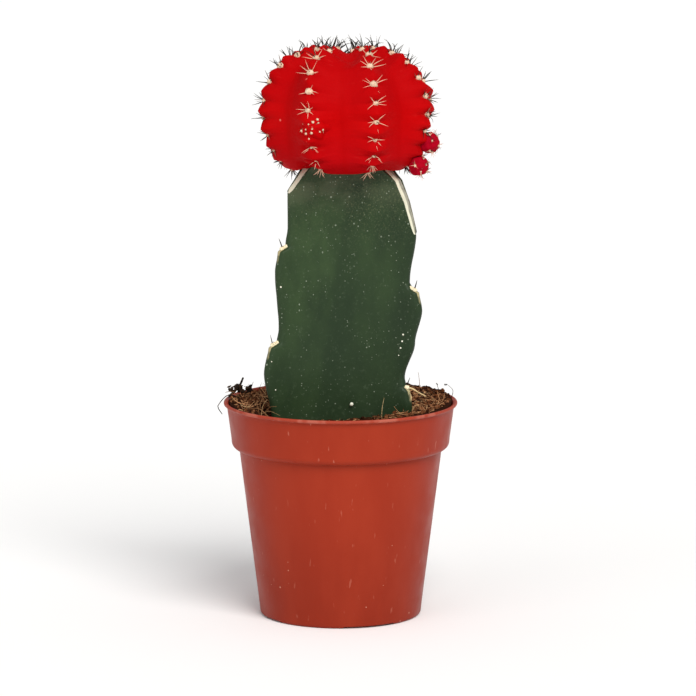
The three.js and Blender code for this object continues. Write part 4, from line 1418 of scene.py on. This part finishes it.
def pup_shape(pup, rows=34, columns=72):
    """The closed ball of a pup, with a slightly uneven skin."""
    latitude = np.linspace(-np.pi / 2, np.pi / 2, rows + 2)[1:-1, None]
    longitude = np.arange(columns)[None] / columns * 2 * np.pi
    longitude, latitude = np.broadcast_arrays(longitude, latitude)
    points, direction, wave = pup_surface(pup, longitude, latitude)
    points = points + direction * (0.10 * noise(points, 1.6, 90 + pup["seed"]))[..., None]
    centre, _, _, outward = pup_frame(pup)
    radius = pup["radius"]
    values = {"flank": wave, "step": latitude * 3, "notch": 0 * wave, "share": 0 * wave + 0.3}
    return closed_rings(points, centre - radius * outward, centre + radius * outward, values)


def pup_areoles(pup):
    """Areoles on the outer side of a pup, in a loose golden-angle pattern."""
    count = pup["dots"]
    index = np.arange(count) + 0.5
    stray = np.random.default_rng(120 + pup["seed"]).uniform(-1, 1, (2, count))
    latitude = np.pi / 2 - pup["spread"] * np.sqrt(index / count) * (1 + 0.16 * stray[0])
    longitude = index * math.pi * (3 - math.sqrt(5)) + pup["seed"] + 0.35 * stray[1]
    points, direction, _ = pup_surface(pup, longitude, latitude)
    up = pup_frame(pup)[2]
    upward = unit(up - np.sum(direction * up, axis=-1, keepdims=True) * direction)
    return Areoles(points, direction, upward, np.cross(upward, direction), np.full(count, 0.3))


def pup_wool():
    """Tiny pads on every pup."""
    parts = []
    for pup in PUPS:
        rng = np.random.default_rng(100 + pup["seed"])
        areoles = pup_areoles(pup)
        parts.append(wool(areoles, pup["wool"] * rng.uniform(0.45, 1.25, len(areoles.places)), rng, 10))
    return together(parts)


def pup_spines():
    """Tiny spines on every pup."""
    parts = []
    for pup in PUPS:
        rng = np.random.default_rng(110 + pup["seed"])
        areoles = pup_areoles(pup)
        shape = (len(areoles.places), 5)
        angles = rng.uniform(-np.pi, np.pi, shape)
        leans = np.radians(rng.uniform(20, 75, shape))
        lengths = pup["spine"] * rng.uniform(0.5, 1.15, shape)
        parts.append(spines(areoles, angles, leans, lengths, rng.normal(0, 0.5, shape), 0.075,
                            rng.uniform(0.1, 0.8, shape), rng, pup["missing"]))
    return together(parts)


# ---- materials of the head ----

def head_material(name, red):
    """Saturated red skin, with painted shade in the valleys and near the hem and fine paler streaks across
    the flanks.

    The streaks are noise in the rib's own directions: long across the rib and short along it. The
    notches are a little paler, and a few pale dots are scattered over the skin.
    """
    deep = (red[0] * 0.80, red[1] * 0.6, red[2] * 0.7)
    bright = (min(1.0, red[0] * 1.10), red[1] + 0.0016, red[2] + 0.0018)
    upper = (red[0] * 0.78, red[1] * 2.4, red[2] * 2.6)
    nodes = Finish(name, 0.6, 0.02, red)
    flank, step, share, notch = (nodes.point_value(key) for key in ("flank", "step", "share", "notch"))
    nodes.coat(nodes.stepped(nodes.noise(95), 0.34, 0.68, 0.0, 0.7), bright)
    # Painted shade: darker and bluer towards the hem, on the underside.
    nodes.coat(nodes.stepped(share, 0.40, 0.04, 0.0, 0.55), (0.33, 0.0022, 0.0052))
    nodes.coat(nodes.stepped(share, 0.30, 0.52, 0.0, 0.5), upper)
    # Painted shade in the valleys between the ribs.
    nodes.coat(nodes.stepped(flank, 0.80, 1.0, 0.0, 0.30), deep)
    rib_place = {0: nodes.product(flank, 1.3), 1: nodes.product(step, 5.5), 2: 0.0}
    rib_place = nodes.add("ShaderNodeCombineXYZ", rib_place).outputs[0]
    streaks = nodes.stepped(nodes.noise(1.0, 4.0, 0.6, vector=rib_place), 0.60, 0.74)
    on_flank = nodes.product(nodes.stepped(flank, 0.10, 0.35), nodes.stepped(flank, 0.95, 0.70))
    lines = nodes.product(streaks, on_flank)
    nodes.coat(nodes.product(lines, 0.17), (0.66, 0.030, 0.026))
    nodes.coat(nodes.product(nodes.specks(430, 0.16, 0.965), 0.6), (0.85, 0.22, 0.17))
    nodes.coat(nodes.stepped(notch, 0.55, 0.95, 0.0, 0.18), (0.70, 0.050, 0.040))
    nodes.shader.inputs["Subsurface Weight"].default_value = 0.06
    nodes.shader.inputs["Subsurface Radius"].default_value = (1.0, 0.12, 0.08)
    nodes.shader.inputs["Subsurface Scale"].default_value = 0.0012
    fine = nodes.product(nodes.noise(1300), 0.30)
    nodes.bump(nodes.maths("ADD", nodes.product(lines, 0.9), fine), 0.00008, 0.4)
    return nodes.finished()


def wool_material(colour):
    """Felted wool, from cream to a warmer shadow tone between its hairs, with brown knots."""
    pale = [min(1.0, value * 1.22) for value in colour]
    shade = [value * weight for value, weight in zip(colour, (0.85, 0.62, 0.50))]
    nodes = Finish("Areole wool", 0.9, 0.1, colour)
    nodes.coat(nodes.stepped(nodes.point_value("tint"), 0.2, 0.9), pale)
    nodes.coat(nodes.stepped(nodes.noise(2600, 3.0, 0.7), 0.45, 0.7, 0.0, 0.7), shade)
    nodes.coat(nodes.stepped(nodes.noise(1500, 2.0), 0.58, 0.72, 0.0, 0.65), (0.22, 0.15, 0.08))
    return nodes.finished()


def spine_material():
    """Horny spines, near-black to cream by their tint, paler at the root and darker at the tip."""
    nodes = Finish("Spine", 0.5, 0.2)
    tint = nodes.point_value("tint")
    along = nodes.point_value("along")
    cream = (0.86, 0.52, 0.36)
    body = nodes.mixed(nodes.stepped(tint, 0.2, 0.8), (0.016, 0.013, 0.011), cream)
    tip = nodes.mixed(nodes.stepped(tint, 0.3, 0.95), (0.012, 0.010, 0.009), (0.74, 0.33, 0.24))
    nodes.colour = nodes.mixed(nodes.stepped(tint, 0.0, 0.6), (0.20, 0.125, 0.085), cream)
    nodes.coat(nodes.stepped(along, 0.0, 0.35), body)
    nodes.coat(nodes.stepped(along, 0.6, 1.0, 0.0, 0.8), tip)
    return nodes.finished()


# ---- stage ----

FLOOR_WIDTH = 4000.0
# The camera's sideways place and the height that it is aimed at, in metres, and its lens in millimetres.
CAMERA_X = 0.00208
AIM_HEIGHT = 0.0748
LENS = 245.4


def stage_material(colour):
    """Plain matt floor."""
    floor = Finish("Studio floor", 0.9, 0.05)
    floor.shader.inputs["Base Color"].default_value = (*colour, 1)
    return floor.material


def floor_shape():
    """A square floor round the pot."""
    corners = [(-1, -1, 0), (1, -1, 0), (1, 1, 0), (-1, 1, 0)]
    return Shape(np.array(corners) * FLOOR_WIDTH / 2, np.array([[0, 1, 2, 3]]), np.empty((0, 3), int), {})


def add_sun(name, azimuth, elevation, strength, angle, colour):
    """A sun that shines from an azimuth and elevation in degrees, as wide as the angle."""
    light = bpy.data.lights.new(name, "SUN")
    light.energy = strength
    light.angle = math.radians(angle)
    light.color = colour
    sun = bpy.data.objects.new(name, light)
    turn, rise = math.radians(azimuth), math.radians(elevation)
    source = Vector(around(math.cos(rise), turn, math.sin(rise)))
    sun.rotation_euler = source.to_track_quat("Z", "Y").to_euler()
    bpy.context.scene.collection.objects.link(sun)


def add_camera(settings):
    """A long lens in front of the pot, a little above it, aimed at the middle of the plant."""
    camera = bpy.data.cameras.new("Camera")
    camera.sensor_width = 36
    camera.lens = LENS
    camera.clip_end = 10
    holder = bpy.data.objects.new("Camera", camera)
    place = Vector((CAMERA_X, -settings.distance, settings.camera_height))
    target = Vector((CAMERA_X, 0, AIM_HEIGHT))
    holder.location = place
    holder.rotation_euler = (target - place).to_track_quat("-Z", "Y").to_euler()
    bpy.context.scene.collection.objects.link(holder)
    bpy.context.scene.camera = holder


# ---- operators ----

class CACTUS_OT_pot(bpy.types.Operator):
    """Build the terracotta nursery pot with its rolled lip, foot notches and drain holes"""
    bl_idname = "moon_cactus.pot"
    bl_label = "Pot"
    bl_options = {"REGISTER", "UNDO"}

    def execute(self, context):
        settings = context.scene.cactus_pot
        piece = add_piece("pot_shell", pot_shape(settings), pot_material(settings), "pot")
        cut_by(piece, drain_holes())
        return {"FINISHED"}


class CACTUS_OT_soil(bpy.types.Operator):
    """Build the growing mix with its crumbs and coir fibres"""
    bl_idname = "moon_cactus.soil"
    bl_label = "Growing mix"
    bl_options = {"REGISTER", "UNDO"}

    def execute(self, context):
        settings = context.scene.cactus_soil
        earth = soil_material(settings)
        add_piece("soil_bed", soil_bed(settings), earth, "soil")
        add_piece("soil_crumbs", soil_crumbs(settings), earth, smooth=False)
        add_piece("coir_fibres", coir_fibres(settings), fibre_material())
        return {"FINISHED"}


class CACTUS_OT_litter(bpy.types.Operator):
    """Build the bark, straw and perlite that lie loose on the mix"""
    bl_idname = "moon_cactus.litter"
    bl_label = "Litter"
    bl_options = {"REGISTER", "UNDO"}

    def execute(self, context):
        add_piece("litter", litter_shape(), litter_material())
        add_piece("perlite", perlite_shape(context.scene.cactus_stem), perlite_material())
        return {"FINISHED"}


class CACTUS_OT_stem(bpy.types.Operator):
    """Build the three-winged green stem with the areoles on its margins"""
    bl_idname = "moon_cactus.stem"
    bl_label = "Stem"
    bl_options = {"REGISTER", "UNDO"}

    def execute(self, context):
        settings = context.scene.cactus_stem
        add_piece("stem_skin", stem_shape(settings), stem_material(settings), "rootstock")
        add_piece("stem_wool", stem_wool(), wool_material((0.80, 0.72, 0.50)))
        add_piece("stem_spines", stem_spines(), spine_material())
        return {"FINISHED"}


class CACTUS_OT_head(bpy.types.Operator):
    """Build the red ribbed head with its wool and spines"""
    bl_idname = "moon_cactus.head"
    bl_label = "Head"
    bl_options = {"REGISTER", "UNDO"}

    def execute(self, context):
        settings = context.scene.cactus_head
        skin = head_material("Red scion skin", settings.red)
        add_piece("head_body", head_shape(settings), skin, "scion")
        add_piece("head_wool", head_wool(settings), wool_material(settings.wool))
        add_piece("head_spines", head_spines(settings), spine_material())
        return {"FINISHED"}


class CACTUS_OT_pups(bpy.types.Operator):
    """Build the pups on the head's side with their wool and spines"""
    bl_idname = "moon_cactus.pups"
    bl_label = "Pups"
    bl_options = {"REGISTER", "UNDO"}

    def execute(self, context):
        settings = context.scene.cactus_head
        red, green, blue = settings.red
        # The grown pups, round the sides and back, get a darker, bluer copy of the head's red: painted shade.
        shaded_pup_red = head_material("Red pup skin in painted shade", (red * 0.80, green, blue + 0.011))
        young_red = head_material("Red pup skin", (red, green, blue))
        grown = [pup_shape(pup) for pup in PUPS if pup["missing"] < 0.5]
        young = [pup_shape(pup) for pup in PUPS if pup["missing"] >= 0.5]
        add_piece("pups", together(grown), shaded_pup_red)
        add_piece("young_pup", together(young), young_red)
        add_piece("pup_wool", pup_wool(), wool_material(settings.wool))
        add_piece("pup_spines", pup_spines(), spine_material())
        return {"FINISHED"}


class CACTUS_OT_stage(bpy.types.Operator):
    """Set up the floor, the soft light and the camera"""
    bl_idname = "moon_cactus.stage"
    bl_label = "Stage"
    bl_options = {"REGISTER", "UNDO"}

    def execute(self, context):
        settings = context.scene.cactus_stage
        floor = bpy.data.objects.new("floor", make_mesh("floor", floor_shape(), False))
        floor.data.materials.append(stage_material(settings.floor))
        context.scene.collection.objects.link(floor)
        world = bpy.data.worlds.new("Studio")
        world.use_nodes = True
        background = world.node_tree.nodes["Background"]
        background.inputs["Color"].default_value = (1, 1, 1, 1)
        background.inputs["Strength"].default_value = 0.50
        context.scene.world = world
        add_sun("key", azimuth=22, elevation=45, strength=2.5, angle=35, colour=(1.0, 0.985, 0.96))
        add_sun("fill", azimuth=-38, elevation=25, strength=0.5, angle=50, colour=(0.97, 0.985, 1.0))
        add_camera(settings)
        context.scene.view_settings.view_transform = "Standard"
        return {"FINISHED"}


OPERATORS = (CACTUS_OT_pot, CACTUS_OT_soil, CACTUS_OT_litter, CACTUS_OT_stem, CACTUS_OT_head, CACTUS_OT_pups,
             CACTUS_OT_stage)
SETTINGS = (("cactus_pot", CactusPotSettings), ("cactus_soil", CactusSoilSettings),
            ("cactus_stem", CactusStemSettings), ("cactus_head", CactusHeadSettings),
            ("cactus_stage", CactusStageSettings))


class CACTUS_PT_panel(bpy.types.Panel):
    """The pieces of the cactus and their settings"""
    bl_idname = "CACTUS_PT_panel"
    bl_label = "Moon cactus"
    bl_space_type = "VIEW_3D"
    bl_region_type = "UI"
    bl_category = "Moon cactus"

    def draw(self, context):
        for operator in OPERATORS:
            self.layout.operator(operator.bl_idname)
        for name, group in SETTINGS:
            box = self.layout.box()
            box.label(text=group.__doc__)
            for key in group.__annotations__:
                box.prop(getattr(context.scene, name), key)


def register():
    """Registers the settings, the operators and the panel."""
    for name, group in SETTINGS:
        bpy.utils.register_class(group)
        setattr(bpy.types.Scene, name, bpy.props.PointerProperty(type=group))
    for operator in OPERATORS:
        bpy.utils.register_class(operator)
    bpy.utils.register_class(CACTUS_PT_panel)


def unregister():
    """Removes what register added."""
    bpy.utils.unregister_class(CACTUS_PT_panel)
    for operator in reversed(OPERATORS):
        bpy.utils.unregister_class(operator)
    for name, group in reversed(SETTINGS):
        delattr(bpy.types.Scene, name)
        bpy.utils.unregister_class(group)


def main():
    """Registers the add-on and builds every piece in order."""
    register()
    bpy.ops.moon_cactus.pot()
    bpy.ops.moon_cactus.soil()
    bpy.ops.moon_cactus.litter()
    bpy.ops.moon_cactus.stem()
    bpy.ops.moon_cactus.head()
    bpy.ops.moon_cactus.pups()
    bpy.ops.moon_cactus.stage()


if __name__ == "__main__":
    main()
